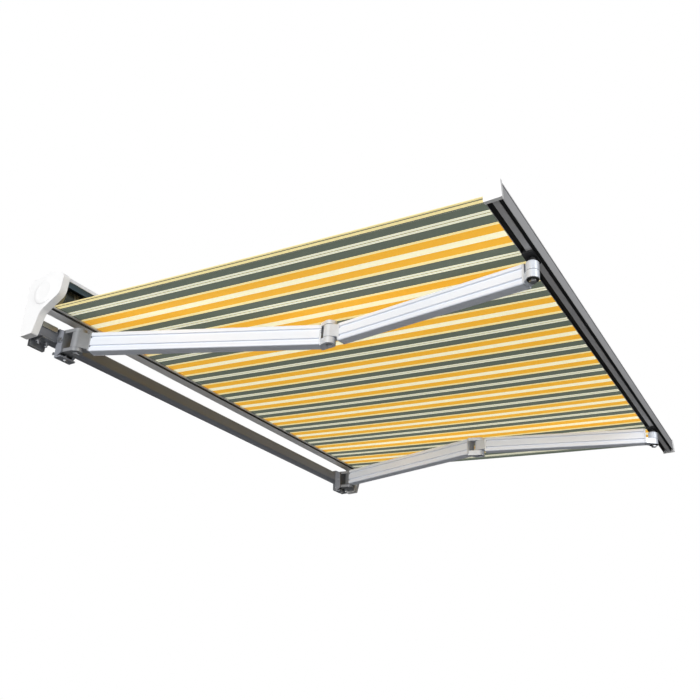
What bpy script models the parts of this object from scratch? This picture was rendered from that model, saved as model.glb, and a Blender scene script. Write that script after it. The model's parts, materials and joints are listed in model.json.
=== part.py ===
"""Folding-arm canvas awning, open, in metres with +Z up.

The wall is the plane y = 0 and the awning reaches out towards -Y.  x = 0 is the middle of the
cloth and z = 0 is the centre line of the square torsion bar.  Left is -X.
"""

from math import atan2, cos, pi, radians, sin, sqrt

import bmesh
import bpy
from mathutils import Matrix, Vector

# Clearances between separate pieces, and how far a cutter runs past what it cuts
SEAT_GAP = 0.0003
HINGE_GAP = 0.0004
CUT_RUN = 0.010

# Torsion bar
BAR_SIZE = 0.040
BAR_WALL = 0.003
BAR_CORNER = 0.003
BAR_WALL_DISTANCE = 0.012
BAR_PLUG_DEPTH = 0.018

# Cloth, roller and the widths along X
CLOTH_WIDTH = 1.855
CLOTH_THICKNESS = 0.0012
CLOTH_PITCH = radians(5.1)
CLOTH_LEAF = 0.026
KEDER_RADIUS = 0.0026
KEDER_SLOT_WALL = 0.002
IDLER_GAP = 0.004
DRIVE_GAP = 0.052
ROLLER_Y = -0.080
ROLLER_Z = 0.106
TUBE_RADIUS = 0.035
TUBE_WALL = 0.0015
ROLL_BUILD = 0.0042
MOTOR_RADIUS = 0.024
MOTOR_LENGTH = 0.480
MOTOR_SHAFT_RADIUS = 0.007
MOTOR_SHAFT_LENGTH = 0.030
CROWN_WIDTH = 0.016
DRIVE_WHEEL_WIDTH = 0.022
DRIVE_WHEEL_GAP = 0.002
IDLER_PLUG_LENGTH = 0.040
IDLER_PLUG_RIM = 0.002
IDLER_SHAFT_RADIUS = 0.008

# End caps: the outline runs up the back, over the peak and down the front to the toe
CAP_THICKNESS = 0.025
CAP_FLANGE = 0.006
CAP_RIM = 0.007
CAP_BEARING_DEPTH = 0.012
CAP_BACK_Y = -0.004
CAP_BOTTOM_Z = -0.030
CAP_SHOULDER_Z = 0.160
CAP_PEAK_Y = -0.0986
CAP_PEAK_Z = 0.174
CAP_BROW_Y = -0.159
CAP_BROW_Z = 0.150
CAP_JAW_Y = -0.152
CAP_JAW_Z = 0.084
CAP_THROAT_Y = -0.076
CAP_THROAT_Z = 0.040
CAP_TOE_Y = -0.055
CAP_FOOT_FILLET = 0.004
CAP_BACK_FILLET = 0.020
CAP_PEAK_FILLET = 0.055
CAP_BROW_FILLET = 0.024
CAP_JAW_FILLET = 0.030
CAP_THROAT_FILLET = 0.040
CAP_TOE_FILLET = 0.005
COVER_RADIUS = 0.043
COVER_HEIGHT = 0.005
COVER_FLAT_ANGLE = radians(75)

# Hood and tray
HOOD_WALL = 0.0025
HOOD_INSET = 0.003
HOOD_LIP_Z = 0.133
HOOD_BACK_Z = 0.098
TRAY_WALL = 0.0018
TRAY_LIP = 0.006
TRAY_LIP_DROP = 0.0004
TRAY_LIP_HEIGHT = 0.005
TRAY_GROOVE = 0.005
TRAY_GROOVE_HEIGHT = 0.004
TRAY_STEP = 0.002
TRAY_BACK_Y = -0.064
TRAY_BOTTOM_Z = 0.045
TRAY_FLOOR_RISE = 0.0025
TRAY_FLOOR_DEPTH = 0.013
TRAY_FLOOR_FILLET = 0.008
TRAY_FOLD = 0.006
TRAY_FOLD_RISE = 0.007
TRAY_FOLD_FILLET = 0.003
TRAY_BACK_HEIGHT = 0.015

# Arms: the forearm and the front joint's place along the bar follow from these
ARM_PITCH = radians(4.1)
SHOULDER_INSET = 0.0975
SHOULDER_Y = -0.116
SHOULDER_Z = -0.020
UPPER_LENGTH = 0.802
ELBOW_BEND = radians(28.6)
FRONT_PIVOT_REACH = 1.398
CLOSED_DEPTH = 0.042
UPPER_WIDTH = 0.040
UPPER_HEIGHT = 0.064
FOREARM_WIDTH = 0.036
FOREARM_HEIGHT = 0.056
PROFILE_WALL = 0.003
PROFILE_GROOVE_WIDTH = 0.004
PROFILE_GROOVE_DEPTH = 0.0012
PROFILE_GROOVE_LEVEL = 0.24
PROFILE_FILLET = 0.004
FOLD_GAP = 0.001
SPIGOT_LENGTH = 0.050
END_PLATE = 0.006

# Arm joints
SHOULDER_RADIUS = 0.021
SHOULDER_BARREL = 0.052
SHOULDER_REACH = 0.040
SHOULDER_PIN_RADIUS = 0.008
SHOULDER_PIN_HEAD = 0.0047
SHOULDER_PIN_END = 0.003
LUG_THICKNESS = 0.0115
ELBOW_RADIUS = 0.019
ELBOW_HEIGHT = 0.072
ELBOW_TOP_LUG = 0.012
ELBOW_BOTTOM_LUG = 0.019
ELBOW_REACH = 0.033
ELBOW_PIN_RADIUS = 0.007
ELBOW_HEX_RADIUS = 0.010
ELBOW_HEX_DEPTH = 0.008
ELBOW_HEX_SINK = 0.002
FORK_WEB_INSET = 0.004
FRONT_RADIUS = 0.0165
FRONT_BARREL_SPLIT = -0.004
FRONT_LUG_BOTTOM = -0.026
FRONT_REACH = 0.030
FRONT_PIN_RADIUS = 0.006
FRONT_PIN_END = 0.020
FRONT_BOLT_HEAD = 0.006
LUG_TAPER = 0.002
CAST_STEP = 0.001

# Arm bracket and its pitch setting
CARRIER_HALF_WIDTH = 0.024
CARRIER_BACK = 0.039
CARRIER_WEB = 0.013
CARRIER_LUG_LAP = 0.004
BRACKET_WALL = 0.007
BRACKET_EAR = 0.005
BRACKET_HOOK = 0.012
BRACKET_FILLET = 0.003
EAR_LAP = 0.002
EAR_FRONT_INSET = 0.002
EAR_TOP_DROP = 0.004
EAR_FOOT_RISE = 0.010
EAR_FILLET = 0.006
SHELF_DROP = 0.012
SHELF_LEAD = 0.004
PITCH_BOLT_RADIUS = 0.005
PITCH_SCREW_RADIUS = 0.004
PITCH_HEAD = 0.0057

# Wall bracket
WALL_BRACKET_SPACE = 0.0067
WALL_BRACKET_WIDTH = 0.056
WALL_PLATE = 0.005
WALL_PLATE_TOP = 0.052
WALL_PLATE_BOTTOM = -0.044
WALL_PLATE_FILLET = 0.0015
WALL_HOOK_FILLET = 0.003
WALL_RIB = 0.008
WALL_RIB_FILLET = 0.006
WALL_BRACKET_ARM = 0.008
WALL_HOOK = 0.0048
WALL_HOOK_Z = 0.009
WALL_HOLE_RADIUS = 0.0045
WALL_HOLE_INSET = 0.012
WALL_HOLE_DROP = 0.011
CLAMP_PLATE = 0.005
CLAMP_INSET = 0.006
CLAMP_NOSE = 0.002
CLAMP_FILLET = 0.001
CLAMP_BOLT_SPACING = 0.030
CLAMP_BOLT_RADIUS = 0.004
CLAMP_BOLT_HEAD = 0.0075
CLAMP_HEAD_HEIGHT = 0.006
CLAMP_BOLT_DROP = 0.014

# Front profile and its bracket: the joint carries it at these distances from its pivot
FRONT_PIVOT_INSET = 0.0154
FRONT_BRACKET_RISE = 0.036
FRONT_DEPTH = 0.040
FRONT_HEIGHT = 0.0565
FRONT_WALL = 0.003
FRONT_LEFT_GAP = 0.0015
FRONT_RIGHT_GAP = 0.048
FRONT_SLOT_WIDTH = 0.0095
FRONT_SLOT_DEPTH = 0.010
FRONT_SHOULDER_DROP = 0.016
FRONT_SHOULDER_FILLET = 0.010
FRONT_CROWN_DEPTH = 0.014
FRONT_CROWN_FILLET = 0.012
FRONT_NOSE_FILLET = 0.013
FRONT_TOE_FILLET = 0.0015
CHAMBER_BACK = 0.012
CHAMBER_TOP_DROP = 0.011
FRONT_CAP_THICKNESS = 0.011
FRONT_CAP_RIM = 0.0015
BRACKET_PLATE = 0.0045
BRACKET_PLATE_HALF = 0.032
BRACKET_PLATE_FILLET = 0.004
BRACKET_KEY_INSET = 0.004
BRACKET_KEY_LAP = 0.002

ARC_STEP = radians(22.5)
ROUND_SIDES = 32
JOINT_SIDES = 24
SCREW_SIDES = 12

LEFT = 1
RIGHT = -1
SIDE_NAMES = {LEFT: "left", RIGHT: "right"}
JOIN = "UNION"
CUT = "DIFFERENCE"

MATERIALS = {
    "white_coat": ((0.86, 0.87, 0.87), 0.35, 0.0),
    "arm_coat": ((0.84, 0.85, 0.86), 0.3, 0.0),
    "cast_joint": ((0.62, 0.63, 0.65), 0.35, 0.6),
    "bar_coat": ((0.42, 0.43, 0.44), 0.45, 0.0),
    "white_plastic": ((0.88, 0.88, 0.87), 0.4, 0.0),
    "dark_plastic": ((0.05, 0.05, 0.05), 0.5, 0.0),
    "zinc_steel": ((0.55, 0.56, 0.58), 0.3, 1.0),
    "tube_steel": ((0.5, 0.52, 0.54), 0.4, 1.0),
    "cloth": ((0.85, 0.62, 0.2), 0.85, 0.0),
}


def clear_scene():
    for obj in list(bpy.data.objects):
        bpy.data.objects.remove(obj)


def material(name):
    """The named finish as a Principled material."""
    found = bpy.data.materials.get(name)
    if found:
        return found
    colour, roughness, metallic = MATERIALS[name]
    made = bpy.data.materials.new(name)
    made.use_nodes = True
    shader = made.node_tree.nodes["Principled BSDF"]
    shader.inputs["Base Color"].default_value = (*colour, 1.0)
    shader.inputs["Roughness"].default_value = roughness
    shader.inputs["Metallic"].default_value = metallic
    return made


# Frames: each one has columns a, b, w and an origin, and outlines are drawn in its a-b plane
def frame(a, b, w, origin=(0.0, 0.0, 0.0)):
    made = Matrix.Identity(4)
    for column, axis in enumerate((a, b, w)):
        made.col[column].xyz = Vector(axis)
    made.translation = Vector(origin)
    return made


ALONG_X = frame((0, 1, 0), (0, 0, 1), (1, 0, 0))
FROM_ABOVE = frame((1, 0, 0), (0, 1, 0), (0, 0, 1))
ARM_PLANE = Matrix.Rotation(ARM_PITCH, 4, "X")


def downwards(x, y, z):
    """A frame that looks down from a point."""
    return frame((1, 0, 0), (0, -1, 0), (0, 0, -1), (x, y, z))


def at(base, a=0.0, b=0.0, w=0.0):
    """The same frame, moved by distances along its own axes."""
    return base @ Matrix.Translation((a, b, w))


# Outlines
def arc(centre, radius, start, end):
    """Points along an arc, both ends included."""
    count = max(2, round(abs(end - start) / ARC_STEP) + 1)
    steps = [start + (end - start) * n / (count - 1) for n in range(count)]
    return [(centre[0] + radius * cos(t), centre[1] + radius * sin(t)) for t in steps]


def circle(radius, sides=ROUND_SIDES):
    steps = [2 * pi * n / sides for n in range(sides)]
    return [(radius * cos(t), radius * sin(t)) for t in steps]


def hexagon(radius):
    return circle(radius, sides=6)


def rectangle(a0, a1, b0, b1):
    return [(a0, b0), (a1, b0), (a1, b1), (a0, b1)]


def rounded(corners, closed=True):
    """An outline through (a, b, fillet radius) corners, with each fillet drawn as an arc."""
    points = []
    count = len(corners)
    for n, (a, b, radius) in enumerate(corners):
        here = Vector((a, b))
        if radius == 0 or (not closed and n in (0, count - 1)):
            points.append((a, b))
            continue
        to_last = (Vector(corners[n - 1][:2]) - here).normalized()
        to_next = (Vector(corners[(n + 1) % count][:2]) - here).normalized()
        half = to_last.angle(to_next) / 2
        centre = here + (to_last + to_next).normalized() * radius / sin(half)
        first = here + to_last * radius * cos(half) / sin(half) - centre
        last = here + to_next * radius * cos(half) / sin(half) - centre
        start = atan2(first.y, first.x)
        turn = (atan2(last.y, last.x) - start + pi) % (2 * pi) - pi
        points += arc(centre, radius, start, start + turn)
    return points


def inset_corners(corners, inset):
    """The corners of an outline moved to its left, which is inwards, with fillets that stay parallel."""
    moved = []
    count = len(corners)
    for n, (a, b, radius) in enumerate(corners):
        here = Vector((a, b))
        before = (here - Vector(corners[n - 1][:2])).normalized()
        after = (Vector(corners[(n + 1) % count][:2]) - here).normalized()
        first, second = (Vector((-d.y, d.x)) for d in (before, after))
        place_at = here + (first + second) * inset / (1 + first.dot(second))
        turns_left = before.x * after.y - before.y * after.x > 0
        fillet = max(radius - inset, CAST_STEP) if turns_left else radius + inset
        moved.append((place_at.x, place_at.y, fillet))
    return moved


def strip(path, thickness):
    """A sheet metal section: a path and its copy, offset to the left by the thickness."""
    points = [Vector(p) for p in path]
    offset = []
    for n, here in enumerate(points):
        before = (here - points[n - 1]).normalized() if n else None
        after = (points[n + 1] - here).normalized() if n + 1 < len(points) else None
        before = before or after
        after = after or before
        normals = [Vector((-d.y, d.x)) for d in (before, after)]
        middle = (normals[0] + normals[1]).normalized()
        offset.append(here + middle * thickness / middle.dot(normals[0]))
    return [tuple(p) for p in points + offset[::-1]]


def cross(o, p, q):
    return (p[0] - o[0]) * (q[1] - o[1]) - (p[1] - o[1]) * (q[0] - o[0])


def hull(points):
    """The convex outline round a set of points."""
    ordered = sorted({(round(a, 7), round(b, 7)) for a, b in points})
    sides = []
    for run in (ordered, ordered[::-1]):
        side = []
        for p in run:
            while len(side) > 1 and cross(side[-2], side[-1], p) <= 0:
                side.pop()
            side.append(p)
        sides += side[:-1]
    return sides


# Solids
def prism(base, outline, w0, w1, holes=()):
    """A closed bmesh: the outline, less its holes, from w0 to w1 in a frame."""
    bm = bmesh.new()
    for loop in (outline, *holes):
        verts = [bm.verts.new(base @ Vector((a, b, w0))) for a, b in loop]
        for n, vert in enumerate(verts):
            bm.edges.new((vert, verts[(n + 1) % len(verts)]))
    bmesh.ops.triangle_fill(bm, use_beauty=True, edges=bm.edges[:])
    grown = bmesh.ops.extrude_face_region(bm, geom=bm.faces[:])["geom"]
    shift = base.to_3x3() @ Vector((0, 0, w1 - w0))
    bmesh.ops.translate(bm, vec=shift, verts=[v for v in grown if isinstance(v, bmesh.types.BMVert)])
    bmesh.ops.recalc_face_normals(bm, faces=bm.faces)
    return bm


def turned(base, profile, sides=ROUND_SIDES):
    """A closed bmesh turned about the frame's w axis, from (radius, w) points off the axis."""
    bm = bmesh.new()
    rings = []
    for radius, w in profile:
        rings.append([bm.verts.new(base @ Vector((a, b, w))) for a, b in circle(radius, sides)])
    for lower, upper in zip(rings, rings[1:]):
        for n in range(sides):
            m = (n + 1) % sides
            bm.faces.new((lower[n], lower[m], upper[m], upper[n]))
    bm.faces.new(rings[0])
    bm.faces.new(rings[-1])
    bmesh.ops.recalc_face_normals(bm, faces=bm.faces)
    return bm


def rod(base, radius, w0, w1, sides=JOINT_SIDES):
    """A plain round bar, or the cutter of a round hole."""
    return turned(base, [(radius, w0), (radius, w1)], sides)


def place(name, bm, side, pivot):
    """A mesh object from a bmesh drawn on the left side, with its origin at its pivot."""
    if side == RIGHT:
        bmesh.ops.scale(bm, vec=(-1, 1, 1), verts=bm.verts)
        bmesh.ops.reverse_faces(bm, faces=bm.faces)
    if pivot:
        bmesh.ops.transform(bm, matrix=pivot["world"].inverted(), verts=bm.verts)
    mesh = bpy.data.meshes.new(name)
    bm.to_mesh(mesh)
    bm.free()
    mesh.shade_smooth()
    mesh.set_sharp_from_angle(angle=radians(30))
    obj = bpy.data.objects.new(name, mesh)
    bpy.context.collection.objects.link(obj)
    if pivot:
        obj.parent = pivot["empty"]
    return obj


def piece(name, finish, body, steps=(), side=LEFT, pivot=None, solver="EXACT"):
    """One sub-part: a body, then each step's solid joined to it or cut out of it."""
    obj = place(name, body, side, pivot)
    obj.data.materials.append(material(finish))
    for n, (operation, solid) in enumerate(steps):
        tool = place(f"{name}_step_{n + 1}", solid, side, pivot)
        tool.hide_render = True
        tool.display_type = "WIRE"
        boolean = obj.modifiers.new(tool.name, "BOOLEAN")
        boolean.operation = operation
        boolean.solver = solver
        boolean.object = tool
    return obj


def pivot_empty(name, world, side, parent=None):
    """An empty on a joint's axis, its Z along the axis."""
    location = world.translation.copy()
    location.x *= side
    placed = Matrix.Translation(location) @ ARM_PLANE
    empty = bpy.data.objects.new(name, None)
    bpy.context.collection.objects.link(empty)
    empty.empty_display_size = UPPER_HEIGHT
    if parent:
        empty.parent = parent["empty"]
        empty.matrix_basis = parent["world"].inverted() @ placed
    else:
        empty.matrix_basis = placed
    return {"empty": empty, "world": placed}


# Places that follow from the sizes
BAR_HALF = BAR_SIZE / 2
BAR_BACK_Y = -BAR_WALL_DISTANCE
BAR_FRONT_Y = BAR_BACK_Y - BAR_SIZE
BAR_CENTRE_Y = BAR_BACK_Y - BAR_HALF
ROLL_BORE = TUBE_RADIUS + SEAT_GAP
ROLL_RADIUS = ROLL_BORE + ROLL_BUILD
TUBE_BORE = TUBE_RADIUS - TUBE_WALL
CLOTH_LEFT = -CLOTH_WIDTH / 2
CLOTH_RIGHT = CLOTH_WIDTH / 2
HEAD_LEFT = CLOTH_LEFT - IDLER_GAP
HEAD_RIGHT = CLOTH_RIGHT + DRIVE_GAP
ROLLER = frame((0, 1, 0), (0, 0, 1), (1, 0, 0), (0.0, ROLLER_Y, ROLLER_Z))
CAP_CORNERS = [
    (CAP_BACK_Y, CAP_BOTTOM_Z, CAP_FOOT_FILLET),
    (CAP_BACK_Y, CAP_SHOULDER_Z, CAP_BACK_FILLET),
    (CAP_PEAK_Y, CAP_PEAK_Z, CAP_PEAK_FILLET),
    (CAP_BROW_Y, CAP_BROW_Z, CAP_BROW_FILLET),
    (CAP_JAW_Y, CAP_JAW_Z, CAP_JAW_FILLET),
    (CAP_THROAT_Y, CAP_THROAT_Z, CAP_THROAT_FILLET),
    (CAP_TOE_Y, CAP_BOTTOM_Z, CAP_TOE_FILLET),
]
SHOULDER_X = CLOTH_LEFT + SHOULDER_INSET
SHOULDER = Matrix.Translation((SHOULDER_X, SHOULDER_Y, SHOULDER_Z)) @ ARM_PLANE


def forearm_length():
    """The length that reaches the open front and folds back to the same place along the bar.

    Closed, the upper arm lies along the bar and the front joint is CLOSED_DEPTH in front of it.
    """
    share = (FRONT_PIVOT_REACH**2 - CLOSED_DEPTH**2) / (2 * UPPER_LENGTH)
    root = sqrt(share**2 + (CLOSED_DEPTH * sin(ELBOW_BEND)) ** 2)
    return (root - share * cos(ELBOW_BEND)) / sin(ELBOW_BEND) ** 2


FOREARM_LENGTH = forearm_length()
FRONT_PIVOT_SIDE = UPPER_LENGTH - sqrt(FOREARM_LENGTH**2 - CLOSED_DEPTH**2)
FRONT_PIVOT = at(SHOULDER, FRONT_PIVOT_SIDE, -FRONT_PIVOT_REACH)
FRONT_INNER_Y = FRONT_PIVOT.translation.y + FRONT_PIVOT_INSET
FRONT_BOTTOM_Z = FRONT_PIVOT.translation.z + FRONT_BRACKET_RISE


def elbow_place():
    """The elbow in the arm plane from the shoulder, where the two arm lengths meet."""
    reach = sqrt(FRONT_PIVOT_SIDE**2 + FRONT_PIVOT_REACH**2)
    along = (UPPER_LENGTH**2 - FOREARM_LENGTH**2 + reach**2) / (2 * reach)
    off = sqrt(UPPER_LENGTH**2 - along**2)
    a, b = FRONT_PIVOT_SIDE / reach, -FRONT_PIVOT_REACH / reach
    return a * along - b * off, b * along + a * off


ELBOW = at(SHOULDER, *elbow_place())


def member_frame(start, end):
    """A frame at start with a towards end, b to the outer side of the fold and w along the axis."""
    along = (end.translation - start.translation).normalized()
    up = start.to_3x3().col[2]
    return frame(along, up.cross(along), up, start.translation)


UPPER = member_frame(SHOULDER, ELBOW)
UPPER_BACK = member_frame(ELBOW, SHOULDER)
FOREARM = member_frame(ELBOW, FRONT_PIVOT)
FOREARM_BACK = member_frame(FRONT_PIVOT, ELBOW)


def across(member):
    """The frame that a member's section is drawn in: b and w across it, extruded along a."""
    columns = [member.to_3x3().col[n] for n in (1, 2, 0)]
    return frame(*columns, member.translation)


# Head
def bar_square(half):
    """A square round the torsion bar's centre line."""
    return rectangle(BAR_CENTRE_Y - half, BAR_CENTRE_Y + half, -half, half)


def make_torsion_bar():
    outline = rounded([(y, z, BAR_CORNER) for y, z in bar_square(BAR_HALF)])
    bore = BAR_HALF - BAR_WALL
    left = HEAD_LEFT + SEAT_GAP
    right = HEAD_RIGHT - SEAT_GAP
    piece("torsion_bar", "bar_coat", prism(ALONG_X, outline, left, right, [bar_square(bore)]))
    plug = bar_square(bore - SEAT_GAP)
    for name, start in (("left", left), ("right", right - BAR_PLUG_DEPTH)):
        solid = prism(ALONG_X, plug, start, start + BAR_PLUG_DEPTH)
        piece(f"torsion_bar_plug_{name}", "dark_plastic", solid)


def make_end_cap(side):
    """A moulded cap with a rim round the hood, and its bearing in a boss behind a domed cover."""
    name = SIDE_NAMES[side]
    inner = HEAD_LEFT if side == LEFT else -HEAD_RIGHT
    outer = inner - CAP_THICKNESS
    body = prism(ALONG_X, rounded(CAP_CORNERS), outer, inner)
    inside = rounded(inset_corners(CAP_CORNERS, CAP_RIM))
    pocket = prism(ALONG_X, inside, outer + CAP_FLANGE, inner + CUT_RUN)
    boss = rod(ROLLER, COVER_RADIUS, outer + CAP_FLANGE / 2, inner, ROUND_SIDES)
    seat = prism(ALONG_X, bar_square(BAR_HALF), outer + CAP_FLANGE / 2, inner)
    journal = IDLER_SHAFT_RADIUS if side == LEFT else MOTOR_RADIUS
    bearing = rod(ROLLER, journal + SEAT_GAP, inner - CAP_BEARING_DEPTH, inner + CUT_RUN, ROUND_SIDES)
    steps = [(CUT, pocket), (JOIN, boss), (JOIN, seat), (CUT, bearing)]
    piece(f"end_cap_{name}", "white_plastic", body, steps, side)
    turns = [COVER_FLAT_ANGLE * n / 4 for n in range(5)]
    dome = [(COVER_RADIUS * cos(t), COVER_HEIGHT * sin(t)) for t in turns]
    face = frame((0, 1, 0), (0, 0, -1), (-1, 0, 0), (outer - SEAT_GAP, ROLLER_Y, ROLLER_Z))
    piece(f"bearing_cover_{name}", "white_plastic", turned(face, dome), side=side)


def make_hood():
    """The top cover: one extruded skin from the front lip over the roll to the back edge."""
    back, peak, brow = ((y, z - HOOD_INSET, fillet - HOOD_INSET) for y, z, fillet in CAP_CORNERS[1:4])
    front = brow[0] + HOOD_INSET
    rear = back[0] - HOOD_INSET
    path = rounded(
        [(rear, HOOD_BACK_Z, 0), (rear, *back[1:]), peak, (front, *brow[1:]), (front, HOOD_LIP_Z, 0)],
        closed=False,
    )
    body = prism(ALONG_X, strip(path, HOOD_WALL), HEAD_LEFT + SEAT_GAP, HEAD_RIGHT - SEAT_GAP)
    piece("cassette_hood", "white_coat", body)


def cloth_point(reach, drop=0.0):
    """A point (y, z) under the cloth's upper face, this far along it from the roll."""
    direction = Vector((-cos(CLOTH_PITCH), -sin(CLOTH_PITCH)))
    up = Vector((-sin(CLOTH_PITCH), cos(CLOTH_PITCH)))
    start = Vector((ROLLER_Y, ROLLER_Z)) - up * (ROLL_RADIUS + SEAT_GAP)
    return start + direction * reach - up * drop


def make_tray():
    """The lower cover: a lip that the cloth runs out over, a groove and a folded back edge."""
    lip = cloth_point(CLOTH_LEAF, CLOTH_THICKNESS + SEAT_GAP)
    groove = lip.x + TRAY_GROOVE
    lip_top = lip.y - CAST_STEP
    groove_top = lip_top - TRAY_LIP_HEIGHT + CAST_STEP - TRAY_STEP
    fold = TRAY_BACK_Y - TRAY_FOLD
    path = rounded(
        [
            (lip.x + TRAY_LIP, lip_top + TRAY_LIP_DROP, 0),
            (lip.x, lip_top, 0),
            (lip.x, groove_top + TRAY_STEP, 0),
            (groove, groove_top, 0),
            (groove, groove_top - TRAY_GROOVE_HEIGHT, 0),
            (fold - TRAY_FLOOR_DEPTH, TRAY_BOTTOM_Z + TRAY_FLOOR_RISE, TRAY_FLOOR_FILLET),
            (fold, TRAY_BOTTOM_Z, TRAY_FOLD_FILLET),
            (TRAY_BACK_Y, TRAY_BOTTOM_Z + TRAY_FOLD_RISE, TRAY_FOLD_FILLET),
            (TRAY_BACK_Y, TRAY_BOTTOM_Z + TRAY_BACK_HEIGHT, 0),
        ],
        closed=False,
    )
    body = prism(ALONG_X, strip(path, TRAY_WALL), HEAD_LEFT + SEAT_GAP, HEAD_RIGHT - SEAT_GAP)
    piece("lower_tray", "white_coat", body)


def make_roller():
    """The tube with its end fittings, the cloth wound on it and the motor inside it."""
    tube = prism(ROLLER, circle(TUBE_RADIUS), CLOTH_LEFT, CLOTH_RIGHT, [circle(TUBE_BORE)])
    piece("roller_tube", "tube_steel", tube)
    wound = prism(ROLLER, circle(ROLL_RADIUS), CLOTH_LEFT, CLOTH_RIGHT, [circle(ROLL_BORE)])
    piece("fabric_roll", "cloth", wound)
    fit = TUBE_BORE - SEAT_GAP
    idler = [
        (IDLER_SHAFT_RADIUS, HEAD_LEFT - CAP_BEARING_DEPTH + SEAT_GAP),
        (IDLER_SHAFT_RADIUS, CLOTH_LEFT - IDLER_PLUG_RIM),
        (fit, CLOTH_LEFT - IDLER_PLUG_RIM),
        (fit, CLOTH_LEFT + IDLER_PLUG_LENGTH),
    ]
    piece("idler_plug", "dark_plastic", turned(ROLLER, idler))
    shaft_root = HEAD_RIGHT - MOTOR_LENGTH
    motor = [
        (MOTOR_SHAFT_RADIUS, shaft_root - MOTOR_SHAFT_LENGTH),
        (MOTOR_SHAFT_RADIUS, shaft_root),
        (MOTOR_RADIUS, shaft_root),
        (MOTOR_RADIUS, HEAD_RIGHT + CAP_BEARING_DEPTH - SEAT_GAP),
    ]
    piece("tubular_motor", "tube_steel", turned(ROLLER, motor))
    bore = circle(MOTOR_SHAFT_RADIUS + HINGE_GAP)
    wheel_end = shaft_root - DRIVE_WHEEL_GAP
    wheel = prism(ROLLER, circle(fit), wheel_end - DRIVE_WHEEL_WIDTH, wheel_end, [bore])
    piece("drive_wheel", "dark_plastic", wheel)
    bore = circle(MOTOR_RADIUS + HINGE_GAP)
    crown = prism(ROLLER, circle(fit), CLOTH_RIGHT - CROWN_WIDTH, CLOTH_RIGHT, [bore])
    piece("motor_crown", "dark_plastic", crown)


def keder_centre():
    """The centre of the bead along the cloth's front hem, inside the front profile's slot."""
    slot = FRONT_INNER_Y - KEDER_RADIUS - KEDER_SLOT_WALL
    return cloth_point((cloth_point(0).x - slot) / cos(CLOTH_PITCH), CLOTH_THICKNESS / 2)


def make_cloth():
    """The stretched cover, with the welded keder bead along its front hem."""
    half = CLOTH_THICKNESS / 2
    # The bead's arc starts and ends where the two faces of the cloth meet it
    spread = atan2(half, sqrt(KEDER_RADIUS**2 - half**2))
    bead = arc(keder_centre(), KEDER_RADIUS, CLOTH_PITCH + spread, CLOTH_PITCH + 2 * pi - spread)
    outline = [tuple(cloth_point(0)), *bead, tuple(cloth_point(0, CLOTH_THICKNESS))]
    piece("canopy_cloth", "cloth", prism(ALONG_X, outline, CLOTH_LEFT, CLOTH_RIGHT))


def make_wall_bracket(side):
    """A bracket that hooks over the torsion bar, and the plate that clamps it from below."""
    name = SIDE_NAMES[side]
    x1 = SHOULDER_X - CARRIER_HALF_WIDTH - SEAT_GAP - BRACKET_EAR - WALL_BRACKET_SPACE
    x0 = x1 - WALL_BRACKET_WIDTH
    back = BAR_BACK_Y + SEAT_GAP
    front = BAR_FRONT_Y - SEAT_GAP
    over = BAR_HALF + SEAT_GAP
    hook = front - WALL_HOOK
    top = over + WALL_BRACKET_ARM
    outline = rounded(
        [
            (0.0, WALL_PLATE_BOTTOM, 0),
            (0.0, WALL_PLATE_TOP, WALL_PLATE_FILLET),
            (-WALL_PLATE, WALL_PLATE_TOP, WALL_PLATE_FILLET),
            (back - WALL_RIB, top, WALL_RIB_FILLET),
            (hook, top, WALL_HOOK_FILLET),
            (hook, WALL_HOOK_Z, CLAMP_FILLET),
            (front, WALL_HOOK_Z, 0),
            (front, over, 0),
            (back, over, 0),
            (back, -over, 0),
            (back, WALL_PLATE_BOTTOM, CLAMP_FILLET),
        ]
    )
    hole_z = WALL_PLATE_TOP - WALL_HOLE_DROP
    steps = []
    for x in (x0 + WALL_HOLE_INSET, x1 - WALL_HOLE_INSET):
        facing = frame((1, 0, 0), (0, 0, 1), (0, -1, 0), (x, 0, hole_z))
        steps.append((CUT, rod(facing, WALL_HOLE_RADIUS, -CUT_RUN, BAR_SIZE, SCREW_SIDES)))
    piece(f"wall_bracket_{name}", "zinc_steel", prism(ALONG_X, outline, x0, x1), steps, side)
    bottom = -over - CLAMP_PLATE
    plate = rounded(
        [
            (back - SEAT_GAP, -over, 0),
            (hook, -over, 0),
            (hook - CLAMP_NOSE, bottom, CLAMP_FILLET),
            (back - SEAT_GAP, bottom, CLAMP_FILLET),
        ]
    )
    solid = prism(ALONG_X, plate, x0 + CLAMP_INSET, x1 - CLAMP_INSET)
    piece(f"bar_clamp_{name}", "zinc_steel", solid, side=side)
    middle = (x0 + x1) / 2
    for n, step in enumerate((-CLAMP_BOLT_SPACING / 2, CLAMP_BOLT_SPACING / 2)):
        base = downwards(middle + step, BAR_CENTRE_Y, bottom - SEAT_GAP)
        head = prism(base, hexagon(CLAMP_BOLT_HEAD), 0.0, CLAMP_HEAD_HEIGHT)
        tail = rod(base, CLAMP_BOLT_RADIUS, CLAMP_HEAD_HEIGHT / 2, CLAMP_BOLT_DROP, SCREW_SIDES)
        piece(f"clamp_bolt_{name}_{n + 1}", "zinc_steel", head, [(JOIN, tail)], side)


# Arms
def lug(radius, reach, low, high):
    """The plan of a knuckle: a round end on the axis that widens to the arm's end face."""
    end = reach - END_PLATE / 2
    return hull(circle(radius, JOINT_SIDES) + [(end, low + CAST_STEP), (end, high - CAST_STEP)])


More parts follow.
